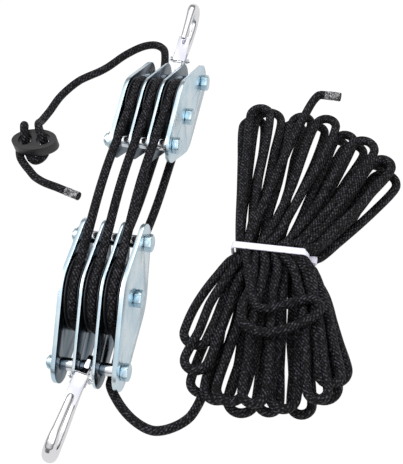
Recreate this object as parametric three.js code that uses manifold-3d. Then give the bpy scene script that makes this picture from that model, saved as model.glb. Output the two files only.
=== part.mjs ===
import * as THREE from 'three';
import { mergeVertices } from 'three/addons/utils/BufferGeometryUtils.js';
import Module from 'manifold-3d';

// Rope hoist: two triple-sheave blocks with latched hooks, one rope reeved through both,
// a tail with a stop ring and the spare rope tied up as a hank.
// Millimetres, +Z up, +Y from the lower block to the upper one, the floor at z = 0.

const wasm = await Module();
wasm.setup();

const FULL_TURN = 2 * Math.PI;
const HALF_TURN = Math.PI;
const QUARTER_TURN = Math.PI / 2;
const degree = FULL_TURN / 360;
const mergeTolerance = 0.0001;

// Driving sizes of the rope and the clearances
const ropeDiameter = 10;
const ropeRadius = ropeDiameter / 2;
const seatGap = 0.3;
const floorGap = 0.4;
const groundLine = ropeRadius + floorGap;

// Cheek plates, seen from the side: three circles joined by straight edges
const cheekRadius = 44;
const ropeEndReach = 61;
const ropeEndRadius = 20;
const hookEndReach = 78;
const hookEndRadius = 21;
const outerPlateThickness = 4.5;
const innerPlateThickness = 3;
const bayWidth = 18.4;
const bayPitch = bayWidth + innerPlateThickness;
const innerWidth = 3 * bayWidth + 2 * innerPlateThickness;
const blockWidth = innerWidth + 2 * outerPlateThickness;
const halfInnerWidth = innerWidth / 2;
const halfBlockWidth = blockWidth / 2;

// The small hole in the upper block's right cheek
const dimpleRadius = 1.4;
const dimpleReach = 50;
const dimpleRise = 18;

// Bolts, nuts and the tubes round them
const boltRadius = 5;
const boltHoleRadius = boltRadius + seatGap;
const boltHeadFlats = 17;
const boltHeadHeight = 7.5;
const boltEndStickOut = 1.5;
const nutFlats = 17;
const nutHexHeight = 6.6;
const nutCollarHeight = 3.4;
const nutCollarRadius = 7.4;
const nutCollarChamfer = 0.8;
const boltEnd = halfBlockWidth + seatGap + nutHexHeight + nutCollarHeight + boltEndStickOut;
const lowerBoltTurn = -13 * degree;
const upperBoltTurn = 21 * degree;
const spacerRadius = 7;
const sleeveRadius = 7;
const sleeveHoleRadius = sleeveRadius + 2 * seatGap;

// Sheaves
const sheaveGrooveGap = 0.6;
const sheaveGrooveRadius = ropeRadius + sheaveGrooveGap;
const ropeLineRadius = cheekRadius - groundLine;
const sheaveRimInset = 2;
const sheaveRimRadius = cheekRadius - sheaveRimInset;
const sheaveRimLip = 1;
const sheaveRimHalfWidth = sheaveGrooveRadius + 2 * sheaveRimLip;
const sheaveRimDepth = 10.5;
const sheaveWebHalfWidth = 4.5;
const sheaveHubRadius = 13;
const sheaveHubHalfWidth = bayWidth / 2 - seatGap;
const sheaveBoreRadius = sleeveRadius + seatGap;

// Hook, seen from the side with its eye at the origin, reaching along -Y, mouth towards +Z
const hookEyePlay = 1.4;
const hookEyeRadius = spacerRadius + hookEyePlay;
const hookEyeWall = 4.6;
const hookEyeOuterRadius = hookEyeRadius + hookEyeWall;
const hookEyeThickness = 7;
const hookBowlReach = 82;
const hookBowlRadius = 21;
const hookTipReach = 45;
const hookNoseRun = 5;
const hookNeckHalfWidth = 4;
const hookNeckHalfDepth = 6.5;
const hookBowlHalfWidth = 7.2;
const hookBowlHalfDepth = 6;
const hookTipHalfWidth = 4.2;
const hookTipHalfDepth = 4.5;
const hookLugThickness = 7;
const hookLugRadius = 3.7;
const hookReachShares = [0.13, 0.21, 0.29, 0.41, 0.56, 0.71, 0.84];
const hookDropShares = [0.07, 0.12, 0.19, 0.36, 0.57, 0.79, 0.94];
const hookNoseShares = [0.82, 0.4];
const lugStartShares = [0.38, 0.9];
const lugRootShares = [[0.33, 0.05], [0.37, -0.29], [0.15, -0.29]];

// Latch, its pin and its double spring
const latchPinReach = 21.6;
const latchPinRise = 13.9;
const latchPinRadius = 1.6;
const latchPinHeadRadius = 2.6;
const latchPinHeadThickness = 1;
const latchHoleRadius = latchPinRadius + seatGap;
const latchSheet = 1.2;
const latchInnerHalfWidth = 6;
const latchOuterHalfWidth = latchInnerHalfWidth + latchSheet;
const latchRise = hookLugRadius + latchSheet + seatGap;
const latchLength = 31;
const latchNoseGap = 0.8;
const latchEarNoseRadius = 3.1;
const latchEarEndDepth = 2.5;
const hookTipRise = latchPinRise + latchRise + latchNoseGap + hookTipHalfDepth;
const springWireRadius = 0.5;
const springTurns = 2;
const springStepsPerTurn = 8;
const springCoilRadius = latchPinRadius + 2 * springWireRadius;
const springPitch = 1.6;
const springLegLength = 9;
const springBridgeReach = 4.5;
const springBridgeRise = springCoilRadius + 0.8;
const springStart = latchOuterHalfWidth + springWireRadius + seatGap;
const springEnd = springStart + springTurns * springPitch;
const latchPinHalfLength = springEnd + springWireRadius + seatGap + latchPinHeadThickness;

// How the set lies: each block rests on its hook-side plate edges, the lower one on its hook's bowl too;
// the eyes are loose on their tubes, so the hooks lean and the upper one stands a little up
const blockPitch = Math.asin((cheekRadius - hookEndRadius) / hookEndReach);
const hookRestRise = hookBowlRadius + hookBowlHalfDepth + floorGap;
const hookLift = Math.asin((hookRestRise - hookEndRadius) / hookBowlReach);
const lowerHookYaw = -6 * degree;
const upperHookYaw = 2.5 * degree;
const lowerHookRoll = 13 * degree;
const upperHookRoll = 8 * degree;
const upperHookRaise = 8 * degree;
const lowerHookShift = -1.5;
const upperHookShift = 2.2;
const axleSpacing = 250;
const lowerAxleY = -axleSpacing / 2;
const upperAxleY = axleSpacing / 2;

// The reeved rope's way out under the hook-end tubes, and the steps of its sweep
const exitBendRadius = 20;
const exitRun = 20;
const exitSteps = 5;
const wrapSteps = 12;
const fallSteps = 3;

// Stop ring on the tail, and tape round the rope's ends
const ringCentreX = -150.5;
const ringCentreY = 210.5;
const ringTurn = 6 * degree;
const ringFloor = 12;
const ringHeight = 14;
const ringHalfLength = 28.5;
const ringHalfWidth = 16;
const ringHoleSpacing = 11.5;
const ringHoleRadius = 8.6;
const tapeLength = 18;
const tapeThickness = 0.4;
const tapeInnerRadius = ropeRadius + seatGap;
const tapeOuterRadius = tapeInnerRadius + tapeThickness;
const tapedLine = groundLine + seatGap + tapeThickness;

// Hank: four layers of three nested loops, drawn in at the waist
const hankX = 167;
const hankY = 78;
const hankLayers = 4;
const hankNested = 3;
const hankSides = 6;
const hankHalfSteps = 12;
const hankLayerGap = 0.9;
const hankLayerPitch = ropeDiameter + hankLayerGap;
const waistGap = 1.15;
const waistPitch = ropeDiameter + waistGap;
const waistLeast = waistPitch / 4 + waistGap / 2;
const waistLift = 2;
const waistBlend = 60;
const topHalfWidth = 17;
const topReach = 176;
const bottomHalfWidth = 20;
const bottomReach = 130;
const lobeSpread = 3;
const lobeWidthPitch = waistPitch + lobeSpread;
const lobeReachPitch = lobeWidthPitch + waistGap;
const layerNumbers = [0, 1, 2, 3];
const topLeans = [34, 16, -13, 10];
const bottomLeans = [-9, 3, -4, -1];
const climbTurns = 0.042;
const hankStart = -1 / 8;
const hankEnd = hankLayers * hankNested + 5 / 24;

// Cable tie round the hank's waist
const tieWidth = 7.5;
const tieThickness = 1.3;
const tieClearance = 0.5;
const tieSideClearance = 1.6;
const tieCornerRadius = ropeRadius;
const tieHeadLength = 7;
const tieHeadHeight = 9;
const tieHeadWidth = 9;
const tieHeadLevel = 30;

const zincColor = 0xdfe8ee;
const brightZincColor = 0xeef0f2;
const castColor = 0x3a3c40;
const chromeColor = 0xf2f2f4;
const ropeColor = 0x17171a;
const plasticColor = 0x2b2b30;
const tieColor = 0xe9e8f4;
const tapeColor = 0xc9c9cc;

function metal(color, roughness) {
  return new THREE.MeshStandardMaterial({ color, roughness, metalness: 1 });
}

function dull(color, roughness) {
  return new THREE.MeshStandardMaterial({ color, roughness, metalness: 0 });
}

function place(parent, name, geometry, material) {
  const mesh = new THREE.Mesh(geometry, material);
  mesh.name = name;
  parent.add(mesh);
  return mesh;
}

// Turns a shape drawn in (along, up) and extruded sideways into block axes (x across, y along, z up)
const sideways = new THREE.Matrix4().makeBasis(
  new THREE.Vector3(0, 1, 0),
  new THREE.Vector3(0, 0, 1),
  new THREE.Vector3(1, 0, 0),
);

function sideExtrusion(shape, thickness, centreX, curveSegments) {
  const geometry = new THREE.ExtrudeGeometry(shape, {
    depth: thickness,
    bevelEnabled: false,
    curveSegments,
  });
  geometry.applyMatrix4(sideways);
  geometry.translate(centreX - thickness / 2, 0, 0);
  return geometry;
}

// A ring turned about the cross axis; its profile runs out along the bore and back along the rim
function crosswiseLathe(profile, segments) {
  const points = profile.map(([across, radius]) => new THREE.Vector2(radius, across)).reverse();
  const geometry = new THREE.LatheGeometry(points, segments);
  geometry.rotateZ(-QUARTER_TURN);
  return geometry;
}

function toSolid(geometry) {
  const bare = geometry.clone();
  bare.deleteAttribute('normal');
  if (bare.attributes.uv) {
    bare.deleteAttribute('uv');
  }
  const merged = mergeVertices(bare, mergeTolerance);
  return new wasm.Manifold(new wasm.Mesh({
    numProp: 3,
    vertProperties: new Float32Array(merged.attributes.position.array),
    triVerts: new Uint32Array(merged.index.array),
  }));
}

function fromSolid(solid) {
  const mesh = solid.getMesh();
  const geometry = new THREE.BufferGeometry();
  geometry.setAttribute('position', new THREE.BufferAttribute(new Float32Array(mesh.vertProperties), 3));
  geometry.setIndex(new THREE.BufferAttribute(new Uint32Array(mesh.triVerts), 1));
  geometry.computeVertexNormals();
  return geometry;
}

// A closed tube through a list of points, with its own width and depth at each one
function sweep(points, sides, halfWidths, halfDepths, firstAcross) {
  const positions = [];
  const index = [];
  const across = firstAcross.clone();
  points.forEach((point, i) => {
    const before = points[Math.max(i - 1, 0)];
    const after = points[Math.min(i + 1, points.length - 1)];
    const along = after.clone().sub(before).normalize();
    across.addScaledVector(along, -across.dot(along)).normalize();
    const up = along.clone().cross(across);
    for (let k = 0; k < sides; k += 1) {
      const turn = FULL_TURN * k / sides;
      const corner = point.clone()
        .addScaledVector(across, halfWidths[i] * Math.cos(turn))
        .addScaledVector(up, halfDepths[i] * Math.sin(turn));
      positions.push(corner.x, corner.y, corner.z);
    }
  });
  for (let i = 0; i < points.length - 1; i += 1) {
    for (let k = 0; k < sides; k += 1) {
      const a = i * sides + k;
      const b = i * sides + (k + 1) % sides;
      index.push(a, b, b + sides, a, b + sides, a + sides);
    }
  }
  const last = (points.length - 1) * sides;
  for (let k = 1; k < sides - 1; k += 1) {
    index.push(0, k + 1, k);
    index.push(last, last + k, last + k + 1);
  }
  const geometry = new THREE.BufferGeometry();
  geometry.setAttribute('position', new THREE.Float32BufferAttribute(positions, 3));
  geometry.setIndex(index);
  geometry.computeVertexNormals();
  return geometry;
}

function roundTube(points, radius, sides, firstAcross) {
  const radii = points.map(() => radius);
  return sweep(points, sides, radii, radii, firstAcross);
}

// A free rope stretch: an extrusion along a smooth curve through points chosen by hand
function ropeStretch(points, steps) {
  const sides = 8;
  const section = new THREE.Shape();
  for (let k = 0; k < sides; k += 1) {
    const turn = FULL_TURN * k / sides;
    const corner = [ropeRadius * Math.cos(turn), ropeRadius * Math.sin(turn)];
    if (k === 0) {
      section.moveTo(...corner);
    } else {
      section.lineTo(...corner);
    }
  }
  const path = new THREE.CatmullRomCurve3(points, false, 'centripetal');
  return new THREE.ExtrudeGeometry(section, { steps, bevelEnabled: false, extrudePath: path });
}

// Least gap between the turns of a tube, measured on its centre points
function leastSelfGap(points, radius, apart) {
  let least = Infinity;
  for (let i = 0; i < points.length; i += 1) {
    for (let j = i + apart; j < points.length; j += 1) {
      least = Math.min(least, points[i].distanceTo(points[j]) - 2 * radius);
    }
  }
  return least;
}

// Least gap between far-apart stretches of a tube, measured between its straight pieces
function leastGapAlong(points, radius, apart) {
  const fine = [];
  const pieces = 6;
  for (let i = 0; i < points.length - 1; i += 1) {
    for (let k = 0; k < pieces; k += 1) {
      fine.push(points[i].clone().lerp(points[i + 1], k / pieces));
    }
  }
  return leastSelfGap(fine, radius, apart * pieces);
}

function polylineLength(points) {
  return points.slice(1).reduce((sum, point, i) => sum + point.distanceTo(points[i]), 0);
}

function cheekShape() {
  const shape = new THREE.Shape();
  const ropeSlope = Math.asin((cheekRadius - ropeEndRadius) / ropeEndReach);
  const ropeTurn = QUARTER_TURN - ropeSlope;
  const hookTurn = QUARTER_TURN + blockPitch;
  shape.absarc(ropeEndReach, 0, ropeEndRadius, -ropeTurn, ropeTurn, false);
  shape.absarc(0, 0, cheekRadius, ropeTurn, hookTurn, false);
  shape.absarc(-hookEndReach, 0, hookEndRadius, hookTurn, FULL_TURN - hookTurn, false);
  shape.absarc(0, 0, cheekRadius, FULL_TURN - hookTurn, FULL_TURN - ropeTurn, false);
  return shape;
}

function roundHole(along, up, radius) {
  const hole = new THREE.Path();
  hole.absarc(along, up, radius, 0, FULL_TURN, true);
  return hole;
}

function cheekPlate(centreX, thickness, axleHoleRadius, dimpled) {
  const shape = cheekShape();
  shape.holes.push(roundHole(ropeEndReach, 0, boltHoleRadius));
  shape.holes.push(roundHole(0, 0, axleHoleRadius));
  shape.holes.push(roundHole(-hookEndReach, 0, boltHoleRadius));
  if (dimpled) {
    shape.holes.push(roundHole(dimpleReach, -dimpleRise, dimpleRadius));
  }
  return sideExtrusion(shape, thickness, centreX, 5);
}

function sheave(centreX) {
  const grooveFloor = ropeLineRadius - sheaveGrooveRadius;
  const rimInnerRadius = sheaveRimRadius - sheaveRimDepth;
  const lipInner = sheaveRimHalfWidth - sheaveRimLip;
  const groovePoints = [];
  const grooveSteps = 4;
  for (let k = 0; k <= grooveSteps; k += 1) {
    const turn = HALF_TURN * k / grooveSteps;
    groovePoints.push([
      sheaveGrooveRadius * Math.cos(turn),
      ropeLineRadius - sheaveGrooveRadius * Math.sin(turn),
    ]);
  }
  groovePoints[grooveSteps / 2] = [0, grooveFloor];
  const profile = [
    [-sheaveHubHalfWidth, sheaveBoreRadius],
    [sheaveHubHalfWidth, sheaveBoreRadius],
    [sheaveHubHalfWidth, sheaveHubRadius],
    [sheaveWebHalfWidth, sheaveHubRadius],
    [sheaveWebHalfWidth, rimInnerRadius],
    [sheaveRimHalfWidth, rimInnerRadius],
    [sheaveRimHalfWidth, sheaveRimRadius],
    [lipInner, sheaveRimRadius],
    ...groovePoints,
    [-lipInner, sheaveRimRadius],
    [-sheaveRimHalfWidth, sheaveRimRadius],
    [-sheaveRimHalfWidth, rimInnerRadius],
    [-sheaveWebHalfWidth, rimInnerRadius],
    [-sheaveWebHalfWidth, sheaveHubRadius],
    [-sheaveHubHalfWidth, sheaveHubRadius],
    [-sheaveHubHalfWidth, sheaveBoreRadius],
  ];
  const geometry = crosswiseLathe(profile, 18);
  geometry.translate(centreX, 0, 0);
  return geometry;
}

function sleeve(centreX, length, outerRadius, innerRadius, segments) {
  const half = length / 2;
  const geometry = crosswiseLathe([
    [-half, innerRadius],
    [half, innerRadius],
    [half, outerRadius],
    [-half, outerRadius],
    [-half, innerRadius],
  ], segments);
  geometry.translate(centreX, 0, 0);
  return geometry;
}

function hexagon(flats) {
  const shape = new THREE.Shape();
  const cornerRadius = flats / Math.sqrt(3);
  for (let k = 0; k < 6; k += 1) {
    const turn = FULL_TURN * (k + 0.5) / 6;
    const corner = [cornerRadius * Math.cos(turn), cornerRadius * Math.sin(turn)];
    if (k === 0) {
      shape.moveTo(...corner);
    } else {
      shape.lineTo(...corner);
    }
  }
  return shape;
}

// A hexagon-headed bolt with its head on the right cheek
function bolt() {
  const headMiddle = halfBlockWidth + seatGap + boltHeadHeight / 2;
  const head = sideExtrusion(hexagon(boltHeadFlats), boltHeadHeight, headMiddle, 1);
  const shank = crosswiseLathe([
    [-boltEnd, 0],
    [headMiddle, 0],
    [headMiddle, boltRadius],
    [-boltEnd, boltRadius],
    [-boltEnd, 0],
  ], 12);
  return fromSolid(toSolid(head).add(toSolid(shank)));
}

// A lock nut on the left cheek: a hexagon with a round collar
function lockNut() {
  const inner = -halfBlockWidth - seatGap;
  const hexShape = hexagon(nutFlats);
  hexShape.holes.push(roundHole(0, 0, boltHoleRadius));
  const hex = sideExtrusion(hexShape, nutHexHeight, inner - nutHexHeight / 2, 6);
  const collarStart = inner - nutHexHeight + nutCollarChamfer;
  const collarEnd = inner - nutHexHeight - nutCollarHeight;
  const collar = crosswiseLathe([
    [collarEnd, boltHoleRadius + seatGap],
    [collarStart, boltHoleRadius + seatGap],
    [collarStart, nutCollarRadius],
    [collarEnd + nutCollarChamfer, nutCollarRadius],
    [collarEnd, nutCollarRadius - nutCollarChamfer],
    [collarEnd, boltHoleRadius + seatGap],
  ], 12);
  return fromSolid(toSolid(hex).add(toSolid(collar)));
}

// Centre line of the hook bar from the neck round the bowl to the tip, as (reach, rise)
function hookLine() {
  const line = hookReachShares.map((share, k) => [
    hookBowlReach * share,
    -hookBowlRadius * hookDropShares[k],
  ]);
  const bowlSteps = 8;
  for (let k = 0; k <= bowlSteps; k += 1) {
    const turn = HALF_TURN * k / bowlSteps;
    line.push([
      hookBowlReach + hookBowlRadius * Math.sin(turn),
      -hookBowlRadius * Math.cos(turn),
    ]);
  }
  const armReach = (hookTipReach + hookBowlReach) / 2;
  line.push([armReach, (hookTipRise + hookBowlRadius) / 2]);
  line.push([hookTipReach + hookNoseRun, hookTipRise]);
  line.push([hookTipReach + hookNoseRun / 3, hookTipRise]);
  line.push([hookTipReach, hookTipRise]);
  return line;
}

// A round cutter right across the hook
function crossBore(along, up, radius, segments) {
  const geometry = crosswiseLathe([
    [-hookEyeThickness, 0],
    [hookEyeThickness, 0],
    [hookEyeThickness, radius],
    [-hookEyeThickness, radius],
    [-hookEyeThickness, 0],
  ], segments);
  geometry.translate(0, along, up);
  return toSolid(geometry);
}

function hookBody() {
  const points = hookLine().map(([reach, rise]) => new THREE.Vector3(0, -reach, rise));
  const count = points.length;
  const middle = Math.floor(count / 2);
  const halfWidths = [];
  const halfDepths = [];
  for (let i = 0; i < count; i += 1) {
    const grown = THREE.MathUtils.smoothstep(i, 2, middle);
    const tapered = THREE.MathUtils.smoothstep(i, middle, count - 3);
    const width = THREE.MathUtils.lerp(hookNeckHalfWidth, hookBowlHalfWidth, grown);
    const depth = THREE.MathUtils.lerp(hookNeckHalfDepth, hookBowlHalfDepth, grown);
    halfWidths.push(THREE.MathUtils.lerp(width, hookTipHalfWidth, tapered));
    halfDepths.push(THREE.MathUtils.lerp(depth, hookTipHalfDepth, tapered));
  }
  hookNoseShares.forEach((share, k) => {
    halfWidths[count - 2 + k] = hookTipHalfWidth * share;
    halfDepths[count - 2 + k] = hookTipHalfDepth * share;
  });
  const bar = toSolid(sweep(points, 8, halfWidths, halfDepths, new THREE.Vector3(1, 0, 0)));
  const eye = toSolid(sleeve(0, hookEyeThickness, hookEyeOuterRadius, hookEyeRadius, 18));
  const lug = new THREE.Shape();
  lug.moveTo(-hookEyeOuterRadius * lugStartShares[0], hookEyeOuterRadius * lugStartShares[1]);
  lug.lineTo(-latchPinReach, latchPinRise + hookLugRadius);
  lug.absarc(-latchPinReach, latchPinRise, hookLugRadius, QUARTER_TURN, HALF_TURN + QUARTER_TURN / 3, false);
  lugRootShares.forEach(([reach, rise]) => {
    lug.lineTo(-hookBowlReach * reach, hookBowlRadius * rise);
  });
  const lugSolid = toSolid(sideExtrusion(lug, hookLugThickness, 0, 4));
  const eyeBore = crossBore(0, 0, hookEyeRadius, 18);
  const pinBore = crossBore(-latchPinReach, latchPinRise, latchHoleRadius, 10);
  return fromSolid(bar.add(eye).add(lugSolid).subtract(eyeBore).subtract(pinBore));
}

// The latch is a bent sheet channel with its pin at the origin and its free end along -Y
function latchBody() {
  const nose = latchEarNoseRadius;
  const ear = new THREE.Shape();
  ear.moveTo(nose, 0);
  ear.lineTo(nose, latchRise - latchSheet);
  ear.lineTo(0, latchRise - latchSheet / 2);
  ear.lineTo(-latchLength, latchRise - latchSheet / 2);
  ear.lineTo(-latchLength, latchRise - latchEarEndDepth);
  ear.lineTo(-latchLength / 3, -nose / 2);
  ear.lineTo(0, -nose);
  ear.absarc(0, 0, nose, -QUARTER_TURN, 0, false);
  ear.holes.push(roundHole(0, 0, latchHoleRadius));
  const earX = latchInnerHalfWidth + latchSheet / 2;
  const sheet = new THREE.BoxGeometry(2 * latchOuterHalfWidth, latchLength, latchSheet);
  sheet.translate(0, -latchLength / 2, latchRise - latchSheet / 2);
  const channel = toSolid(sheet)
    .add(toSolid(sideExtrusion(ear, latchSheet, earX, 6)))
    .add(toSolid(sideExtrusion(ear, latchSheet, -earX, 6)));
  return fromSolid(channel);
}

function latchPin() {
  const half = latchPinHalfLength;
  const headInner = half - latchPinHeadThickness;
  return crosswiseLathe([
    [-half, 0],
    [half, 0],
    [half, latchPinHeadRadius],
    [headInner, latchPinHeadRadius],
    [headInner, latchPinRadius],
    [-headInner, latchPinRadius],
    [-headInner, latchPinHeadRadius],
    [-half, latchPinHeadRadius],
    [-half, 0],
  ], 8);
}

// One wire: a leg on the latch, a coil, the bridge over the hook's eye, the other coil and its leg
function springLine() {
  const steps = springTurns * springStepsPerTurn;
  const half = [[springStart, -springLegLength, springCoilRadius], [springStart, 0, springCoilRadius]];
  for (let k = 1; k <= steps; k += 1) {
    const turn = FULL_TURN * k / springStepsPerTurn;
    half.push([
      springStart + springPitch * k / springStepsPerTurn,
      springCoilRadius * Math.sin(turn),
      springCoilRadius * Math.cos(turn),
    ]);
  }
  half.push([springEnd, springBridgeReach, springBridgeRise]);
  half.push([springEnd / 2, springBridgeReach + springWireRadius, springBridgeRise]);
  const points = half.map(([x, y, z]) => new THREE.Vector3(x, y, z));
  const mirrored = half.map(([x, y, z]) => new THREE.Vector3(-x, y, z)).reverse();
  return [...points, ...mirrored];
}

function latchSpring() {
  const line = springLine();
  const gap = leastSelfGap(line, springWireRadius, 5);
  console.log('spring: least gap between turns, mm', gap.toFixed(2));
  return roundTube(line, springWireRadius, 5, new THREE.Vector3(0, 0, 1));
}

// One block in its own axes: sheave axle at the origin, rope end along +Y, hook end along -Y
function makeBlock(prefix, hookPose, boltTurn, dimpled) {
  const block = new THREE.Group();
  const zinc = metal(zincColor, 0.35);
  const bright = metal(brightZincColor, 0.2);
  const cast = metal(castColor, 0.55);
  const chrome = metal(chromeColor, 0.12);
  const outerX = halfInnerWidth + outerPlateThickness / 2;
  const innerX = bayPitch / 2;
  place(block, `${prefix}_outer_plate_left`, cheekPlate(-outerX, outerPlateThickness, boltHoleRadius, false), zinc);
  place(block, `${prefix}_inner_plate_left`, cheekPlate(-innerX, innerPlateThickness, sleeveHoleRadius, false), zinc);
  place(block, `${prefix}_inner_plate_right`, cheekPlate(innerX, innerPlateThickness, sleeveHoleRadius, false), zinc);
  place(block, `${prefix}_outer_plate_right`, cheekPlate(outerX, outerPlateThickness, boltHoleRadius, dimpled), zinc);
  const bays = [['left', -bayPitch], ['middle', 0], ['right', bayPitch]];
  const spacerLength = bayWidth - 2 * seatGap;
  bays.forEach(([side, x]) => {
    place(block, `${prefix}_sheave_${side}`, sheave(x), cast);
    const ropeSpacer = sleeve(x, spacerLength, spacerRadius, boltHoleRadius, 12);
    place(block, `${prefix}_rope_spacer_${side}`, ropeSpacer, bright).position.y = ropeEndReach;
    const hookSpacer = sleeve(x, spacerLength, spacerRadius, boltHoleRadius, 12);
    place(block, `${prefix}_hook_spacer_${side}`, hookSpacer, bright).position.y = -hookEndReach;
  });
  const axleSleeve = sleeve(0, innerWidth - 2 * seatGap, sleeveRadius, boltHoleRadius, 16);
  place(block, `${prefix}_axle_sleeve`, axleSleeve, bright);
  const boltPlaces = [['rope', ropeEndReach], ['axle', 0], ['hook', -hookEndReach]];
  boltPlaces.forEach(([name, y]) => {
    const fastening = new THREE.Group();
    fastening.position.y = y;
    fastening.rotation.x = boltTurn;
    block.add(fastening);
    place(fastening, `${prefix}_${name}_bolt`, bolt(), zinc);
    place(fastening, `${prefix}_${name}_nut`, lockNut(), zinc);
  });
  const swinging = new THREE.Group();
  swinging.position.set(hookPose.shift, -hookEndReach, 0);
  swinging.rotation.x = hookPose.swing;
  block.add(swinging);
  const skewed = new THREE.Group();
  skewed.rotation.z = hookPose.yaw;
  swinging.add(skewed);
  const facing = new THREE.Group();
  facing.rotation.y = hookPose.turn;
  skewed.add(facing);
  place(facing, `${prefix}_hook`, hookBody(), chrome);
  const pivot = new THREE.Group();
  pivot.name = `${prefix}_latch_pivot`;
  pivot.position.set(0, -latchPinReach, latchPinRise);
  facing.add(pivot);
  place(pivot, `${prefix}_latch_pin`, latchPin(), bright);
  place(pivot, `${prefix}_latch_spring`, latchSpring(), bright);
  place(pivot, `${prefix}_latch`, latchBody(), chrome);
  return block;
}

// The reeved rope: in at the upper block's left bay, five falls, out at the lower block's right bay
function arc(points, x, axleY, from, to, steps) {
  for (let k = 0; k <= steps; k += 1) {
    const turn = THREE.MathUtils.lerp(from, to, k / steps);
    points.push(new THREE.Vector3(
      x,
      axleY + ropeLineRadius * Math.cos(turn),
      cheekRadius + ropeLineRadius * Math.sin(turn),
    ));
  }
}

// The rope's way out under the hook-end tube: down beside the sheave, a bend and a run along the floor
function exitPoints(x, axleY, towards) {
  const points = [];
  const bendCentreY = axleY + towards * (ropeLineRadius + exitBendRadius);
  const bendCentreZ = groundLine + exitBendRadius;
  for (let k = 0; k <= exitSteps; k += 1) {
    const turn = QUARTER_TURN * k / exitSteps;
    points.push(new THREE.Vector3(
      x,
      bendCentreY - towards * exitBendRadius * Math.cos(turn),
      bendCentreZ - exitBendRadius * Math.sin(turn),
    ));
  }
  points.push(new THREE.Vector3(x, bendCentreY + towards * exitRun, groundLine));
  return points;
}

function fall(points, x0, y0, x1, y1, z) {
  for (let k = 1; k < fallSteps; k += 1) {
    const t = k / fallSteps;
    points.push(new THREE.Vector3(
      THREE.MathUtils.lerp(x0, x1, t),
      THREE.MathUtils.lerp(y0, y1, t),
      z,
    ));
  }
}

function reevedLine() {
  const points = exitPoints(-bayPitch, upperAxleY, 1).reverse();
  const top = QUARTER_TURN;
  const bottom = -QUARTER_TURN;
  const frontLine = cheekRadius + ropeLineRadius;
  const backLine = cheekRadius - ropeLineRadius;
  arc(points, -bayPitch, upperAxleY, 0, top, wrapSteps / 2);
  [-bayPitch, 0].forEach((x) => {
    fall(points, x, upperAxleY, x, lowerAxleY, frontLine);
    arc(points, x, lowerAxleY, top, top + HALF_TURN, wrapSteps);
    fall(points, x, lowerAxleY, x + bayPitch, upperAxleY, backLine);
    arc(points, x + bayPitch, upperAxleY, bottom, top, wrapSteps);
  });
  fall(points, bayPitch, upperAxleY, bayPitch, lowerAxleY, frontLine);
  arc(points, bayPitch, lowerAxleY, top, HALF_TURN, wrapSteps / 2);
  points.push(...exitPoints(bayPitch, lowerAxleY, -1));
  return points;
}

// Route points of the free stretches, measured from the lower axle's foot
function fromLowerAxle(list) {
  return list.map(([x, y, z]) => new THREE.Vector3(x, lowerAxleY + y, z));
}

const part = new THREE.Group();
part.name = 'block_and_tackle';
const set = new THREE.Group();
part.add(set);

const lowerHookPose = {
  shift: lowerHookShift,
  swing: -blockPitch - hookLift,
  yaw: lowerHookYaw,
  turn: lowerHookRoll,
};
const lowerBlock = makeBlock('lower', lowerHookPose, lowerBoltTurn, false);
lowerBlock.position.set(0, lowerAxleY, cheekRadius);
lowerBlock.rotation.x = blockPitch;
set.add(lowerBlock);

const upperHookPose = {
  shift: upperHookShift,
  swing: blockPitch + hookLift + upperHookRaise,
  yaw: upperHookYaw,
  turn: HALF_TURN - upperHookRoll,
};
const upperBlock = makeBlock('upper', upperHookPose, upperBoltTurn, true);
upperBlock.position.set(0, upperAxleY, cheekRadius);
upperBlock.rotation.x = HALF_TURN - blockPitch;
set.add(upperBlock);

const ropeMaterial = dull(ropeColor, 0.75);
const reeved = reevedLine();
place(set, 'reeved_rope', roundTube(reeved, ropeRadius, 8, new THREE.Vector3(1, 0, 0)), ropeMaterial);

// Tail rope: out of the upper block, over the floor, twice through the stop ring and on to its taped end
function fromRing(list) {
  return list.map(([x, y, z]) => new THREE.Vector3(
    ringCentreX + x * Math.cos(ringTurn) - y * Math.sin(ringTurn),
    lowerAxleY + ringCentreY + x * Math.sin(ringTurn) + y * Math.cos(ringTurn),
    z,
  ));
}

const tailStart = reeved[0];
const tailPoints = [
  new THREE.Vector3(tailStart.x, tailStart.y + seatGap, groundLine),
  new THREE.Vector3(tailStart.x, tailStart.y + seatGap + ropeRadius, groundLine),
  ...fromLowerAxle([
    [-30.5, 388.2, groundLine],
    [-41.3, 396.3, groundLine],
    [-51, 396.7, groundLine],
    [-63.7, 391.3, groundLine],
    [-83.4, 373.3, groundLine],
    [-97.5, 354.5, groundLine],
    [-108.8, 343.6, groundLine],
    [-128.6, 328.4, groundLine],
    [-142, 309, groundLine],
    [-149.1, 293.3, groundLine],
    [-154.1, 273.4, groundLine],
  ]),
  ...fromRing([
    [-3, 42, 10],
    [0, 28, 23],
    [3, 19, 31],
    [6, 11, 33],
    [10, 3, 28.5],
    [11.5, 0, 20],
    [11.5, -0.5, 12],
    [10.5, -5, 6.4],
    [7, -13, groundLine],
    [0, -17.5, groundLine],
    [-7, -13, groundLine],
    [-10.5, -5, 6.4],
    [-11.5, -0.5, 12],
    [-11.5, 0, 20],
    [-12, 3, 28.5],
    [-13, 10, 33.5],
    [-15, 18, 31.5],
    [-17, 22.5, 24],
    [-20, 22.5, 15],
    [-23, 18, 7.5],
    [-24, 8, groundLine],
    [-23.5, -3, groundLine],
    [-20, -13, groundLine],
    [-13, -23, groundLine],
  ]),
  ...fromLowerAxle([
    [-152.5, 178.5, groundLine],
    [-142.1, 169.3, groundLine],
    [-126.9, 162, groundLine],
    [-112.8, 157.6, tapedLine],
    [-97.5, 152.8, tapedLine],
    [-79.2, 147, tapedLine],
  ]),
];
const tailCurve = new THREE.CatmullRomCurve3(tailPoints, false, 'centripetal');
const tailSteps = 62;
place(set, 'tail_rope', ropeStretch(tailPoints, tailSteps), ropeMaterial);
const tailSpots = tailCurve.getSpacedPoints(3 * tailSteps);
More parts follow.
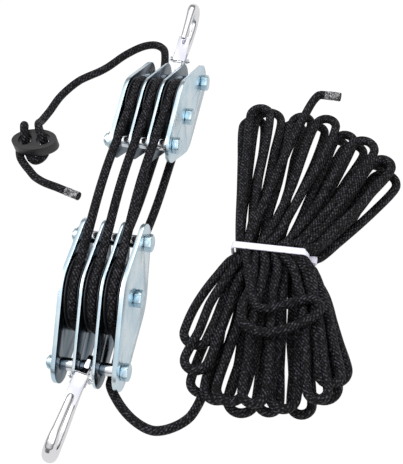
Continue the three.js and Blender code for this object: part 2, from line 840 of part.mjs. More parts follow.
console.log('tail rope: least gap to itself, mm', leastSelfGap(tailSpots, ropeRadius, 10).toFixed(2));
console.log('tail rope: length, mm', tailCurve.getLength().toFixed(0));

const ringShape = new THREE.Shape();
ringShape.absellipse(0, 0, ringHalfLength, ringHalfWidth, 0, FULL_TURN, false, 0);
ringShape.holes.push(roundHole(-ringHoleSpacing, 0, ringHoleRadius));
ringShape.holes.push(roundHole(ringHoleSpacing, 0, ringHoleRadius));
const ringSolid = new THREE.ExtrudeGeometry(ringShape, {
  depth: ringHeight,
  bevelEnabled: false,
  curveSegments: 12,
});
const ring = place(set, 'stop_ring', ringSolid, dull(plasticColor, 0.5));
ring.position.set(ringCentreX, lowerAxleY + ringCentreY, ringFloor);
ring.rotation.z = ringTurn;

// Tape round a rope end: a thin sleeve along the last straight stretch
function tapeSleeve(name, end, towards, material) {
  const geometry = sleeve(0, tapeLength, tapeOuterRadius, tapeInnerRadius, 12);
  const mesh = place(set, name, geometry, material);
  mesh.quaternion.setFromUnitVectors(new THREE.Vector3(1, 0, 0), towards);
  mesh.position.copy(end).addScaledVector(towards, -tapeLength / 2 - seatGap);
}

function endDirection(points) {
  return points[points.length - 1].clone().sub(points[points.length - 2]).normalize();
}

const tapeMaterial = dull(tapeColor, 0.25);
tapeSleeve('tail_tape', tailPoints[tailPoints.length - 1], endDirection(tailPoints), tapeMaterial);

// How far out in the nest the rope lies after so many turns: in, out, in, out
function nestPlace(turns) {
  const last = hankLayers * hankNested;
  if (turns < 0) {
    return hankNested - turns;
  }
  if (turns > last) {
    return hankNested + turns - last;
  }
  const phase = turns % (2 * hankNested);
  return phase < hankNested ? hankNested - phase : phase - hankNested;
}

// A value of the layer that the rope is in, changed over a short climb at each reversal
function layerValue(turns, list) {
  const layer = THREE.MathUtils.clamp(turns / hankNested, 0, hankLayers);
  const nearest = Math.floor(layer + 0.5);
  const before = THREE.MathUtils.clamp(nearest - 1, 0, hankLayers - 1);
  const after = THREE.MathUtils.clamp(nearest, 0, hankLayers - 1);
  const beyond = (layer - nearest) * hankNested;
  const climbed = THREE.MathUtils.smoothstep(beyond, -climbTurns, climbTurns);
  return THREE.MathUtils.lerp(list[before], list[after], climbed);
}

// A point of a lobe as distance along its middle line and distance to the right of it
function lobePoint(step, nest, isTop) {
  const halfWidth = (isTop ? topHalfWidth : bottomHalfWidth) + lobeWidthPitch * nest;
  const reach = (isTop ? topReach : bottomReach) + lobeReachPitch * nest;
  const waist = waistLeast + waistPitch * nest;
  const shoulder = reach - halfWidth;
  const runSteps = hankHalfSteps / 4;
  const stepsFromEnd = Math.min(step, hankHalfSteps - step);
  if (stepsFromEnd < runSteps) {
    const done = stepsFromEnd / runSteps;
    const widened = (1 - Math.cos(HALF_TURN * done)) / 2;
    const side = step < runSteps ? -1 : 1;
    return [shoulder * done, THREE.MathUtils.lerp(waist, halfWidth, widened) * side];
  }
  const turn = HALF_TURN * (step - runSteps) / (hankHalfSteps - 2 * runSteps);
  return [shoulder + halfWidth * Math.sin(turn), -halfWidth * Math.cos(turn)];
}

// The lobes lean to one side: their middle line bends near the waist and then runs straight
function hankPoint(turns) {
  const around = THREE.MathUtils.euclideanModulo(turns, 1);
  const isTop = around < 0.5;
  const share = isTop ? around * 2 : around * 2 - 1;
  const [along, right] = lobePoint(share * hankHalfSteps, nestPlace(turns), isTop);
  const lean = layerValue(turns, isTop ? topLeans : bottomLeans) * degree;
  const bent = Math.min(along, waistBlend);
  const straight = along - bent;
  const heading = lean * bent / waistBlend;
  const bendRadius = waistBlend / lean;
  const middleX = bendRadius * (1 - Math.cos(heading)) + straight * Math.sin(lean);
  const middleY = bendRadius * Math.sin(heading) + straight * Math.cos(lean);
  const planX = middleX + right * Math.cos(heading);
  const planY = middleY - right * Math.sin(heading);
  const side = isTop ? 1 : -1;
  const lift = waistLift * (1 - THREE.MathUtils.smoothstep(along, 0, waistBlend));
  const height = groundLine + lift + layerValue(turns, layerNumbers) * hankLayerPitch;
  return new THREE.Vector3(hankX + side * planX, lowerAxleY + hankY + side * planY, height);
}

function hankLine() {
  const points = [];
  const count = Math.round((hankEnd - hankStart) * 2 * hankHalfSteps);
  for (let i = 0; i <= count; i += 1) {
    points.push(hankPoint(hankStart + i / (2 * hankHalfSteps)));
  }
  return points;
}

const hankPoints = hankLine();
const topLine = groundLine + (hankLayers - 1) * hankLayerPitch;
hankPoints.push(...fromLowerAxle([
  [184, 302.5, topLine],
  [191, 303.5, topLine],
  [210, 302.5, topLine],
]));
console.log('hank: least gap between turns, mm', leastGapAlong(hankPoints, ropeRadius, 4).toFixed(2));
console.log('hank: length, mm', polylineLength(hankPoints).toFixed(0));
place(set, 'rope_hank', roundTube(hankPoints, ropeRadius, hankSides, new THREE.Vector3(0, 0, 1)), ropeMaterial);
tapeSleeve('hank_tape', hankPoints[hankPoints.length - 1], endDirection(hankPoints), tapeMaterial);

// Hauling rope: out of the lower block, over the floor and up to the hank's first run
const haulSteps = 16;
const haulStart = reeved[reeved.length - 1];
const haulTowards = hankPoints[1].clone().sub(hankPoints[0]).normalize();
const haulEnd = hankPoints[0].clone().addScaledVector(haulTowards, -seatGap);
const haulPoints = [
  new THREE.Vector3(haulStart.x, haulStart.y - seatGap, groundLine),
  new THREE.Vector3(haulStart.x, haulStart.y - seatGap - ropeRadius, groundLine),
  ...fromLowerAxle([
    [30.5, -97, groundLine],
    [44.6, -111, groundLine],
    [61.2, -121.6, groundLine],
    [78.7, -126.5, groundLine],
    [96.7, -120.2, groundLine],
    [112, -106, groundLine],
    [121, -86, groundLine],
  ]),
  haulEnd.clone().addScaledVector(haulTowards, -ropeDiameter),
  haulEnd,
];
place(set, 'hauling_rope', ropeStretch(haulPoints, haulSteps), ropeMaterial);
const haulCurve = new THREE.CatmullRomCurve3(haulPoints, false, 'centripetal');
console.log('hauling rope: length, mm', haulCurve.getLength().toFixed(0));
console.log('reeved rope: length, mm', polylineLength(reeved).toFixed(0));

// Cable tie: a band round the waist with its locking head on the right
function roundedBox(left, right, bottom, top, radius) {
  const shape = new THREE.Shape();
  shape.absarc(right - radius, bottom + radius, radius, -QUARTER_TURN, 0, false);
  shape.absarc(right - radius, top - radius, radius, 0, QUARTER_TURN, false);
  shape.absarc(left + radius, top - radius, radius, QUARTER_TURN, HALF_TURN, false);
  shape.absarc(left + radius, bottom + radius, radius, HALF_TURN, HALF_TURN + QUARTER_TURN, false);
  return shape;
}

function cableTie() {
  const grow = ropeRadius + tieClearance;
  const left = -waistLeast - waistPitch * hankNested - ropeRadius - tieSideClearance;
  const right = waistLeast + waistPitch * (hankNested - 0.5) + ropeRadius + tieSideClearance;
  const bottom = groundLine + waistLift - grow;
  const top = topLine + waistLift + grow;
  const outer = roundedBox(
    left - tieThickness,
    right + tieThickness,
    bottom - tieThickness,
    top + tieThickness,
    tieCornerRadius + tieThickness,
  );
  outer.holes.push(roundedBox(left, right, bottom, top, tieCornerRadius));
  const band = new THREE.ExtrudeGeometry(outer, { depth: tieWidth, bevelEnabled: false, curveSegments: 3 });
  band.rotateX(QUARTER_TURN);
  band.translate(0, tieWidth / 2, 0);
  const head = new THREE.BoxGeometry(tieHeadHeight, tieHeadWidth, tieHeadLength);
  head.translate(right + tieThickness / 2 + tieHeadHeight / 2, 0, tieHeadLevel);
  return fromSolid(toSolid(band).add(toSolid(head)));
}

const tie = place(set, 'cable_tie', cableTie(), dull(tieColor, 0.4));
tie.position.set(hankX, lowerAxleY + hankY, 0);

// The origin is the middle of the two blocks' footprint
part.updateMatrixWorld(true);
const footprint = new THREE.Box3().expandByObject(lowerBlock, true).expandByObject(upperBlock, true);
const footprintMiddle = footprint.getCenter(new THREE.Vector3());
set.position.set(-footprintMiddle.x, -footprintMiddle.y, 0);
part.updateMatrixWorld(true);

// Places and axes of the joints, for the record
['lower', 'upper'].forEach((prefix) => {
  const pivot = part.getObjectByName(`${prefix}_latch_pivot`);
  const spot = pivot.getWorldPosition(new THREE.Vector3());
  const axis = new THREE.Vector3(1, 0, 0).transformDirection(pivot.matrixWorld);
  const hook = part.getObjectByName(`${prefix}_hook`);
  const eye = hook.getWorldPosition(new THREE.Vector3());
  console.log(prefix, 'latch pivot', spot.toArray().map((v) => v.toFixed(3)).join(' '));
  console.log(prefix, 'latch axis', axis.toArray().map((v) => v.toFixed(5)).join(' '));
  console.log(prefix, 'hook eye', eye.toArray().map((v) => v.toFixed(3)).join(' '));
});
const shift = set.position.toArray().map((v) => v.toFixed(4)).join(' ');
console.log('set shift, mm', shift, 'lowest point', footprint.min.z.toFixed(4));

export default part;
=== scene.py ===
import math
import random

import bmesh
import bpy
from mathutils import Matrix, Vector


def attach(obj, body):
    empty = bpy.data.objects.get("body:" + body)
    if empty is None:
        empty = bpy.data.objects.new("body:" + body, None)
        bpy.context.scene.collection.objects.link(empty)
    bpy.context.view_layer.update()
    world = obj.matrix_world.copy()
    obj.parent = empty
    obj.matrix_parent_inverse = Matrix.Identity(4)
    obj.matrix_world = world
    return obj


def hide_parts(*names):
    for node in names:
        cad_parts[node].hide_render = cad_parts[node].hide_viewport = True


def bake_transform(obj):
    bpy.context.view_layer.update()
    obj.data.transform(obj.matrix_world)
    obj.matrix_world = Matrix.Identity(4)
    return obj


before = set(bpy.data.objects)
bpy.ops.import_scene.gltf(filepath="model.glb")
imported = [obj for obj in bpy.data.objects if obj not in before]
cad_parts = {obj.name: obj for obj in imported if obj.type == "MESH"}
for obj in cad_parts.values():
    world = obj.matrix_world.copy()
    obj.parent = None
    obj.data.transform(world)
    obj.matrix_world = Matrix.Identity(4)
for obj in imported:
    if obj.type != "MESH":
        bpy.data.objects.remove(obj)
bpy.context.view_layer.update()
mm = 0.001
print("frame loaded")

# Where the blocks stand, as in the part's source
setShift = Vector((2, 0.6991, 0)) * mm
axleSpacing = 250 * mm
cheekRadius = 44 * mm
ropeEndReach = 61 * mm
ropeEndRadius = 20 * mm
hookEndReach = 78 * mm
hookEndRadius = 21 * mm
bayPitch = 21.4 * mm
halfInnerWidth = 30.6 * mm
halfBlockWidth = 35.1 * mm
ropeRadius = 5 * mm
groundLine = 5.4 * mm
ropeLineRadius = cheekRadius - groundLine
cutterLength = 30 * mm
bays = {"left": -bayPitch, "middle": 0, "right": bayPitch}
lowerAxleY = -axleSpacing / 2
upperAxleY = axleSpacing / 2
blockPitch = math.asin((cheekRadius - hookEndRadius) / hookEndReach)
hookReach = 82 * mm
hookBowlLevel = 27.4 * mm
hookLift = math.asin((hookBowlLevel - hookEndRadius) / hookReach)
blockPlaces = {
    "lower": Matrix.Translation(setShift + Vector((0, lowerAxleY, cheekRadius)))
    @ Matrix.Rotation(blockPitch, 4, "X"),
    "upper": Matrix.Translation(setShift + Vector((0, upperAxleY, cheekRadius)))
    @ Matrix.Rotation(math.pi - blockPitch, 4, "X"),
}
# How each hook lies on its tube: which way it swings up, its shift, and degrees of raise, yaw and roll
hookPoses = {
    "lower": {"side": -1, "shift": -1.5 * mm, "raise": 0, "yaw": -6, "roll": 13},
    "upper": {"side": 1, "shift": 2.2 * mm, "raise": 8, "yaw": 2.5, "roll": 172},
}
hookPlaces = {}
for prefix, pose in hookPoses.items():
    swing = pose["side"] * (blockPitch + hookLift) + math.radians(pose["raise"])
    hookPlaces[prefix] = (
        blockPlaces[prefix]
        @ Matrix.Translation((pose["shift"], -hookEndReach, 0))
        @ Matrix.Rotation(swing, 4, "X")
        @ Matrix.Rotation(math.radians(pose["yaw"]), 4, "Z")
        @ Matrix.Rotation(math.radians(pose["roll"]), 4, "Y")
    )


# Camera, fitted to the photograph
cameraFit = {
    "place": (0.32302, -0.60647, 0.93221),
    "right": (0.9706, 0.2056, -0.1254),
    "down": (0.1024, -0.8236, -0.5578),
    "forward": (-0.218, 0.5285, -0.8205),
    "focusPixels": 997.7,
    "tallPixels": 464,
    "sensor": 36,
}


def makeCamera():
    right, down, forward = (Vector(cameraFit[k]) for k in ("right", "down", "forward"))
    camera = bpy.data.objects.new("viewCamera", bpy.data.cameras.new("viewCamera"))
    bpy.context.scene.collection.objects.link(camera)
    turn = Matrix((right, -down, -forward)).transposed()
    place = setShift + Vector(cameraFit["place"])
    camera.matrix_world = Matrix.Translation(place) @ turn.to_4x4()
    camera.data.sensor_width = cameraFit["sensor"]
    camera.data.lens = cameraFit["sensor"] * cameraFit["focusPixels"] / cameraFit["tallPixels"]
    camera.data.clip_start = 0.05
    camera.data.clip_end = 20
    bpy.context.scene.camera = camera


makeCamera()
print("camera placed")


# Materials
def hexColour(text):
    channels = [int(text[i : i + 2], 16) / 255 for i in (1, 3, 5)]
    linear = [c / 12.92 if c < 0.04045 else ((c + 0.055) / 1.055) ** 2.4 for c in channels]
    return (*linear, 1)


def linkInputs(tree, node, links):
    for key, source in links.items():
        tree.links.new(source, node.inputs[key])


# Adds a node with its settings and links, and gives back one of its outputs
def addNode(tree, kind, values=None, links=None, output=0):
    node = tree.nodes.new("ShaderNode" + kind)
    for key, value in (values or {}).items():
        if isinstance(key, str) and hasattr(node, key):
            setattr(node, key, value)
        else:
            node.inputs[key].default_value = value
    linkInputs(tree, node, links or {})
    return node.outputs[output]


def startMaterial(name, colour, metallic, roughness):
    material = bpy.data.materials.new(name)
    material.use_nodes = True
    shader = material.node_tree.nodes["Principled BSDF"]
    shader.inputs["Base Color"].default_value = hexColour(colour)
    shader.inputs["Metallic"].default_value = metallic
    shader.inputs["Roughness"].default_value = roughness
    return material, material.node_tree, shader


# Goes from one colour to another as a pattern rises from start to end
def blendColours(tree, pattern, start, end, first, second):
    share = addNode(tree, "MapRange", {"From Min": start, "From Max": end}, {"Value": pattern})
    colours = {"data_type": "RGBA", 6: hexColour(first), 7: hexColour(second)}
    return addNode(tree, "Mix", colours, {0: share}, 2)


# Lets a pattern vary the roughness and raise a fine bump
def feedSurface(tree, shader, pattern, low, high, strength, depth, start=0.0, end=1.0):
    spread = {"From Min": start, "From Max": end, "To Min": low, "To Max": high}
    roughness = addNode(tree, "MapRange", spread, {"Value": pattern})
    bump = addNode(tree, "Bump", {"Strength": strength, "Distance": depth}, {"Height": pattern})
    linkInputs(tree, shader, {"Roughness": roughness, "Normal": bump})


# Zinc plated steel, rolled sheet: a pale blue satin with soft clouds from the passivation bath
def zincSheet(name, pale, blue, roughness, linesPerMm):
    material, tree, shader = startMaterial(name, pale, 1, roughness)
    place = addNode(tree, "TexCoord", output="Object")
    # clouds about 25 mm across
    cloudSize = {"Scale": 0.04 / mm, "Detail": 3, "Roughness": 0.5}
    cloud = addNode(tree, "TexNoise", cloudSize, {"Vector": place})
    tint = blendColours(tree, cloud, 0.35, 0.65, pale, blue)
    # painted reflection and painted shade: the sides turned into the bays mirror black rope and iron and
    # lie in shade, so they are painted a darker blue grey
    paintedBayShade = addNode(tree, "Attribute", {"attribute_name": "paintedBayShade"}, output="Fac")
    shade = {"data_type": "RGBA", 7: hexColour("#5B6B78")}
    linkInputs(tree, shader, {"Base Color": addNode(tree, "Mix", shade, {0: paintedBayShade, 6: tint}, 2)})
    # rolling lines some 17 mm long, drawn coarser than the real ones so that they show
    lineSize = {"Scale": (linesPerMm / mm, 0.06 / mm, linesPerMm / mm)}
    stretched = addNode(tree, "Mapping", lineSize, {"Vector": place})
    lines = addNode(tree, "TexNoise", {"Scale": 1, "Detail": 2, "Roughness": 0.6}, {"Vector": stretched})
    feedSurface(tree, shader, lines, roughness - 0.06, roughness + 0.08, 0.25, 0.04 * mm)
    return material


# Turned steel, bright zinc: tool marks across the axis and a clear gloss
def turnedSteel(name, colour, dull, roughness):
    material, tree, shader = startMaterial(name, colour, 1, roughness)
    place = addNode(tree, "TexCoord", output="Object")
    # tool marks 0.4 mm apart along the axis
    markSize = {"Scale": (2.5 / mm, 0.025 / mm, 0.025 / mm)}
    stretched = addNode(tree, "Mapping", markSize, {"Vector": place})
    marks = addNode(tree, "TexNoise", {"Scale": 1, "Detail": 1}, {"Vector": stretched})
    # stains about 8 mm across
    stain = addNode(tree, "TexNoise", {"Scale": 0.12 / mm, "Detail": 2}, {"Vector": place})
    linkInputs(tree, shader, {"Base Color": blendColours(tree, stain, 0.4, 0.7, colour, dull)})
    feedSurface(tree, shader, marks, roughness - 0.05, roughness + 0.07, 0.3, 0.03 * mm)
    return material


# Forged and polished steel: nearly white, with a very soft waviness left by the polishing belt
def polishedForging():
    material, tree, shader = startMaterial("polishedForging", "#F3F3F6", 1, 0.13)
    place = addNode(tree, "TexCoord", output="Object")
    # waves about 6 mm long
    waves = addNode(tree, "TexNoise", {"Scale": 0.16 / mm, "Detail": 2}, {"Vector": place})
    feedSurface(tree, shader, waves, 0.08, 0.2, 0.25, 0.06 * mm, 0.3, 0.7)
    return material


# Sheave iron, turned and blackened: dark and gritty with a dull sheen
def blackenedIron():
    material, tree, shader = startMaterial("blackenedIron", "#3B3D42", 0.75, 0.42)
    place = addNode(tree, "TexCoord", output="Object")
    # grit about 1 mm across, drawn coarser than the real one so that it shows
    grit = addNode(tree, "TexNoise", {"Scale": 0.9 / mm, "Detail": 3}, {"Vector": place})
    linkInputs(tree, shader, {"Base Color": blendColours(tree, grit, 0.35, 0.7, "#2E3034", "#4A4D53")})
    feedSurface(tree, shader, grit, 0.34, 0.52, 0.35, 0.05 * mm)
    return material


# Pitches in mm along the rope, turns in waves round it
braid = {
    "ribPitch": 4.4,
    "ribTurns": 7,
    "stitchPitch": 8.8,
    "stitchTurns": -7,
    "stitchShare": 0.4,
    "yarnPitch": 0.9,
    "yarnTurns": 3,
    "yarnShare": 0.1,
    "relief": 0.9 * mm,
}


# Solid braided nylon rope: slanting ribs, each cut into stitches and fine yarn, with a faint sheen and
# painted glints
def braidedNylon():
    material, tree, shader = startMaterial("braidedNylon", "#0E0E10", 0, 0.55)
    place = addNode(tree, "TexCoord", output="Object")
    uv = addNode(tree, "UVMap", {"uv_map": "ropeMap"})
    along = addNode(tree, "SeparateXYZ", {}, {"Vector": uv})
    around = along.node.outputs["Y"]

    # a wave from 0 to 1 that runs along the rope and turns round it
    def wave(kind):
        pitch, turns = braid[f"{kind}Pitch"] * mm, braid[f"{kind}Turns"]
        run = addNode(tree, "Math", {"operation": "MULTIPLY", 1: 2 * math.pi / pitch}, {0: along})
        swing = addNode(tree, "Math", {"operation": "MULTIPLY", 1: 2 * math.pi * turns}, {0: around})
        phase = addNode(tree, "Math", {"operation": "ADD"}, {0: run, 1: swing})
        swell = addNode(tree, "Math", {"operation": "SINE"}, {0: phase})
        return addNode(tree, "MapRange", {"From Min": -1}, {"Value": swell})

    height = wave("rib")
    for kind in ("stitch", "yarn"):
        part = {"operation": "MULTIPLY_ADD", 1: braid[f"{kind}Share"]}
        height = addNode(tree, "Math", part, {0: wave(kind), 2: height})
    # painted highlights: in spots about 2 mm across, the tops of the stitches are painted lighter, as
    # glints where they catch the light
    glintNoise = addNode(tree, "TexNoise", {"Scale": 0.45 / mm, "Detail": 2}, {"Vector": place})
    glintSpots = addNode(tree, "MapRange", {"From Min": 0.45, "From Max": 0.62}, {"Value": glintNoise})
    glint = addNode(tree, "Math", {"operation": "MULTIPLY"}, {0: glintSpots, 1: height})
    linkInputs(tree, shader, {"Base Color": blendColours(tree, glint, 0.2, 1.2, "#09090B", "#4C4C54")})
    feedSurface(tree, shader, height, 0.7, 0.45, 1, braid["relief"], 0.4, 1.4)
    shader.inputs["Specular IOR Level"].default_value = 0.16
    return material


# Moulded nylon: satin, with a fine grain from the mould that is drawn coarser so that it shows
def mouldedPlastic(name, colour, lighter, roughness, grainSize):
    material, tree, shader = startMaterial(name, colour, 0, roughness)
    place = addNode(tree, "TexCoord", output="Object")
    grain = addNode(tree, "TexNoise", {"Scale": 1 / (grainSize * mm), "Detail": 2}, {"Vector": place})
    linkInputs(tree, shader, {"Base Color": blendColours(tree, grain, 0.3, 0.8, colour, lighter)})
    feedSurface(tree, shader, grain, roughness - 0.08, roughness + 0.1, 0.2, 0.05 * mm)
    return material


# Clear polypropylene tape: see-through, with creases that catch the light
def clearTape():
    material, tree, shader = startMaterial("clearTape", "#D6D6DA", 0, 0.18)
    place = addNode(tree, "TexCoord", output="Object")
    # creases about 3 mm apart
    creaseSize = {"Scale": 0.35 / mm, "Detail": 2, "Distortion": 1.5}
    crease = addNode(tree, "TexNoise", creaseSize, {"Vector": place})
    cover = {"From Min": 0.5, "From Max": 0.68, "To Min": 0.04, "To Max": 0.6}
    alpha = addNode(tree, "MapRange", cover, {"Value": crease})
    bump = addNode(tree, "Bump", {"Strength": 0.8, "Distance": 0.3 * mm}, {"Height": crease})
    linkInputs(tree, shader, {"Alpha": alpha, "Normal": bump})
    return material


# Each finish with the name of its slot
finishes = {
    "plate": (zincSheet("zincPlatedSheet", "#E2F0F6", "#C6DEEC", 0.24, 1.2), "zinc_plate"),
    "fastener": (zincSheet("zincPlatedFastener", "#DCEAF1", "#BCD5E2", 0.24, 0.7), "zinc_bolt"),
    "tube": (turnedSteel("brightTurnedSteel", "#EEF0F3", "#C9D2DA", 0.16), "bright_tube"),
    "sheave": (blackenedIron(), "cast_sheave"),
    "hook": (polishedForging(), "polished_hook"),
    "latch": (zincSheet("pressedLatchSheet", "#EDEDF3", "#DFE0EA", 0.22, 0.9), "latch_sheet"),
    "wire": (turnedSteel("springWire", "#D9DBE0", "#9CA3AC", 0.22), "spring_wire"),
    "rope": (braidedNylon(), "black_rope"),
    "ring": (mouldedPlastic("mouldedDarkNylon", "#161619", "#242428", 0.38, 0.8), "ring_plastic"),
    "tie": (mouldedPlastic("naturalNylon", "#E3E2F3", "#F1F0FA", 0.35, 1.5), "tie_nylon"),
    "tape": (clearTape(), "clear_tape"),
}
print("materials made")


# Modelling helpers
def deselect():
    if bpy.context.object is not None and bpy.context.object.mode != "OBJECT":
        bpy.ops.object.mode_set(mode="OBJECT")
    bpy.ops.object.select_all(action="DESELECT")


def pick(obj):
    deselect()
    obj.select_set(True)
    bpy.context.view_layer.objects.active = obj


def startEdit(obj):
    pick(obj)
    bpy.ops.object.mode_set(mode="EDIT")


def endEdit():
    bpy.ops.object.mode_set(mode="OBJECT")


def applyPlace():
    bpy.ops.object.transform_apply(location=True, rotation=True, scale=True)


def choose(obj, kind, test):
    bpy.ops.mesh.select_mode(type=kind)
    bpy.ops.mesh.select_all(action="DESELECT")
    work = bmesh.from_edit_mesh(obj.data)
    items = {"VERT": work.verts, "EDGE": work.edges, "FACE": work.faces}[kind]
    for item in items:
        if test(item):
            item.select_set(True)
    work.select_flush_mode()
    bmesh.update_edit_mesh(obj.data)


def applyModifier(obj, kind, **settings):
    pick(obj)
    modifier = obj.modifiers.new(kind.lower(), kind)
    for key, value in settings.items():
        setattr(modifier, key, value)
    bpy.ops.object.modifier_apply(modifier=modifier.name)


def softenEdges(obj, width, segments=2, angle=30):
    applyModifier(
        obj,
        "BEVEL",
        width=width,
        segments=segments,
        limit_method="ANGLE",
        angle_limit=math.radians(angle),
        harden_normals=False,
    )


def smoothShade(obj, angle=35):
    pick(obj)
    bpy.ops.object.shade_smooth_by_angle(angle=math.radians(angle))


def roundAndShade(obj, width, segments=2, angle=30, shade=35):
    softenEdges(obj, width, segments, angle)
    smoothShade(obj, shade)
    return obj


# A cylinder across the block, its axis along X
def crossCylinder(name, centre, radius, length, sides):
    deselect()
    bpy.ops.mesh.primitive_cylinder_add(
        vertices=sides, radius=radius, depth=length, location=centre, rotation=(0, math.pi / 2, 0)
    )
    obj = bpy.context.object
    obj.name = name
    applyPlace()
    return obj


def makeBox(name, size, centre):
    deselect()
    bpy.ops.mesh.primitive_cube_add(size=1, location=centre)
    box = bpy.context.object
    box.name = name
    box.scale = size
    applyPlace()
    return box


# Joins round parts and wraps them in their hull, which stays in edit mode
def wrapHull(parts):
    deselect()
    for part in parts:
        part.select_set(True)
    bpy.context.view_layer.objects.active = parts[0]
    bpy.ops.object.join()
    hull = bpy.context.object
    startEdit(hull)
    bpy.ops.mesh.select_all(action="SELECT")
    bpy.ops.mesh.convex_hull()
    return hull


# Shapes both ends of a cross cylinder by insets and pushes
def dressCaps(obj, moves):
    for side in (-1, 1):
        outermost = max(side * v.co.x for v in obj.data.vertices)
        startEdit(obj)
        choose(
            obj,
            "FACE",
            lambda f: f.normal.x * side > 0.9 and f.calc_center_median().x * side > outermost - 1e-6,
        )
        for kind, amount in moves:
            if kind == "inset":
                bpy.ops.mesh.inset(thickness=amount)
            else:
                push = {"value": (side * amount, 0, 0)}
                bpy.ops.mesh.extrude_region_move(TRANSFORM_OT_translate=push)
        endEdit()


# Joins the innermost faces of both ends into a bore
def openBore(obj, boreRadius):
    startEdit(obj)
    choose(
        obj,
        "FACE",
        lambda f: abs(f.normal.x) > 0.9
        and all(math.hypot(v.co.y, v.co.z) < boreRadius * 1.02 for v in f.verts),
    )
    bpy.ops.mesh.bridge_edge_loops()
    endEdit()


def cutAway(obj, cutter):
    applyModifier(obj, "BOOLEAN", operation="DIFFERENCE", object=cutter, solver="EXACT")
    bpy.data.objects.remove(cutter)


def addOn(obj, extra):
    applyModifier(obj, "BOOLEAN", operation="UNION", object=extra, solver="EXACT")
    bpy.data.objects.remove(extra)


def copyPiece(obj, name):
    twin = obj.copy()
    twin.data = obj.data.copy()
    twin.name = name
    bpy.context.scene.collection.objects.link(twin)
    return twin


# Puts a piece in its place, gives it its finish and lets it ride on its body
def finishPiece(obj, place, finish, body, node):
    obj.data.transform(place)
    obj.data.update()
    obj.data.materials.clear()
    material, slot = finishes[finish]
    obj.data.materials.append(material)
    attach(obj, body)
    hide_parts(node)


def placeCopy(model, place, finish, body, node):
    finishPiece(copyPiece(model, f"{node}_finished"), place, finish, body, node)


def dropModels(*models):
    for model in models:
        bpy.data.objects.remove(model)


# Cheek plates: the hull of three round discs, with holes for the bolts and one small drilled hole
plateSizes = {
    "outerThickness": 4.5 * mm,
    "innerThickness": 3 * mm,
    "boltHole": 5.3 * mm,
    "sleeveHole": 7.6 * mm,
    "edge": 0.35 * mm,
    "drilledRadius": 1.4 * mm,
    "drilledPlace": (50 * mm, -18 * mm),
}


def makePlate(thickness, axleHole):
    plate = wrapHull(
        [
            crossCylinder("plateDisc", (0, ropeEndReach, 0), ropeEndRadius, thickness, 96),
            crossCylinder("plateDisc", (0, 0, 0), cheekRadius, thickness, 160),
            crossCylinder("plateDisc", (0, -hookEndReach, 0), hookEndRadius, thickness, 96),
        ]
    )
    bpy.ops.mesh.dissolve_limited(angle_limit=math.radians(0.5))
    endEdit()
    boltHole = plateSizes["boltHole"]
    for along, radius in ((ropeEndReach, boltHole), (0, axleHole), (-hookEndReach, boltHole)):
        cutAway(plate, crossCylinder("plateHole", (0, along, 0), radius, 4 * thickness, 48))
    return plate


# Marks the faces that look into a bay, where the plates' finish paints a darker colour as painted
# reflection and painted shade
def markPaintedBayShade(plate, sides):
    values = [
        float(any(face.normal.x * side > 0.9 for side in sides)) for face in plate.data.polygons
    ]
    layer = plate.data.attributes.new("paintedBayShade", "FLOAT", "FACE")
    layer.data.foreach_set("value", values)


def placePlates():
    s = plateSizes
    outer = makePlate(s["outerThickness"], s["boltHole"])
    inner = makePlate(s["innerThickness"], s["sleeveHole"])
    outerX = halfInnerWidth + s["outerThickness"] / 2
    spots = [
        ("outer_plate_left", outer, -outerX, (1,)),
        ("inner_plate_left", inner, -bayPitch / 2, (-1, 1)),
        ("inner_plate_right", inner, bayPitch / 2, (-1, 1)),
        ("outer_plate_right", outer, outerX, (-1,)),
    ]
    for prefix, place in blockPlaces.items():
        for spot, model, x, sides in spots:
            plate = copyPiece(model, f"{prefix}_{spot}_finished")
            if prefix == "upper" and spot == "outer_plate_right":
                drilledPlace = (0, *s["drilledPlace"])
                cutAway(plate, crossCylinder("drill", drilledPlace, s["drilledRadius"], cutterLength, 24))
            roundAndShade(plate, s["edge"])
            markPaintedBayShade(plate, sides)
            move = place @ Matrix.Translation((x, 0, 0))
            finishPiece(plate, move, "plate", f"{prefix}_block", f"{prefix}_{spot}")
    dropModels(outer, inner)


placePlates()
print("plates done")


# Sheaves: a grooved wheel with a recessed web and a hub
sheaveSizes = {
    "rimRadius": 42 * mm,
    "rimHalfWidth": 7.6 * mm,
    "lipHalfWidth": 6.6 * mm,
    "grooveRadius": 5.6 * mm,
    "rimDepth": 10.5 * mm,
    "webHalfWidth": 4.5 * mm,
    "hubRadius": 13 * mm,
    "hubHalfWidth": 8.9 * mm,
    "boreRadius": 7.3 * mm,
    "grooveSteps": 12,
}


def makeSheave():
    s = sheaveSizes
    sheave = crossCylinder("sheave", (0, 0, 0), s["rimRadius"], 2 * s["rimHalfWidth"], 120)
    stations = [(-s["lipHalfWidth"], s["rimRadius"])]
    for k in range(s["grooveSteps"] + 1):
        turn = math.pi * k / s["grooveSteps"]
        across = -s["grooveRadius"] * math.cos(turn)
        stations.append((across, ropeLineRadius - s["grooveRadius"] * math.sin(turn)))
    stations.append((s["lipHalfWidth"], s["rimRadius"]))
    startEdit(sheave)
    for across, radius in stations:
        bpy.ops.mesh.select_all(action="SELECT")
        bpy.ops.mesh.bisect(plane_co=(across, 0, 0), plane_no=(1, 0, 0))
    for across, radius in stations:
        choose(sheave, "VERT", lambda v: abs(v.co.x - across) < 1e-6)
        share = radius / s["rimRadius"]
        bpy.ops.transform.resize(value=(1, share, share), center_override=(across, 0, 0))
    endEdit()
    dressCaps(
        sheave,
        [
            ("inset", s["rimDepth"]),
            ("push", s["webHalfWidth"] - s["rimHalfWidth"]),
            ("inset", s["rimRadius"] - s["rimDepth"] - s["hubRadius"]),
            ("push", s["hubHalfWidth"] - s["webHalfWidth"]),
            ("inset", s["hubRadius"] - s["boreRadius"]),
        ],
    )
    openBore(sheave, s["boreRadius"])
    return roundAndShade(sheave, 0.3 * mm, 2, 40)


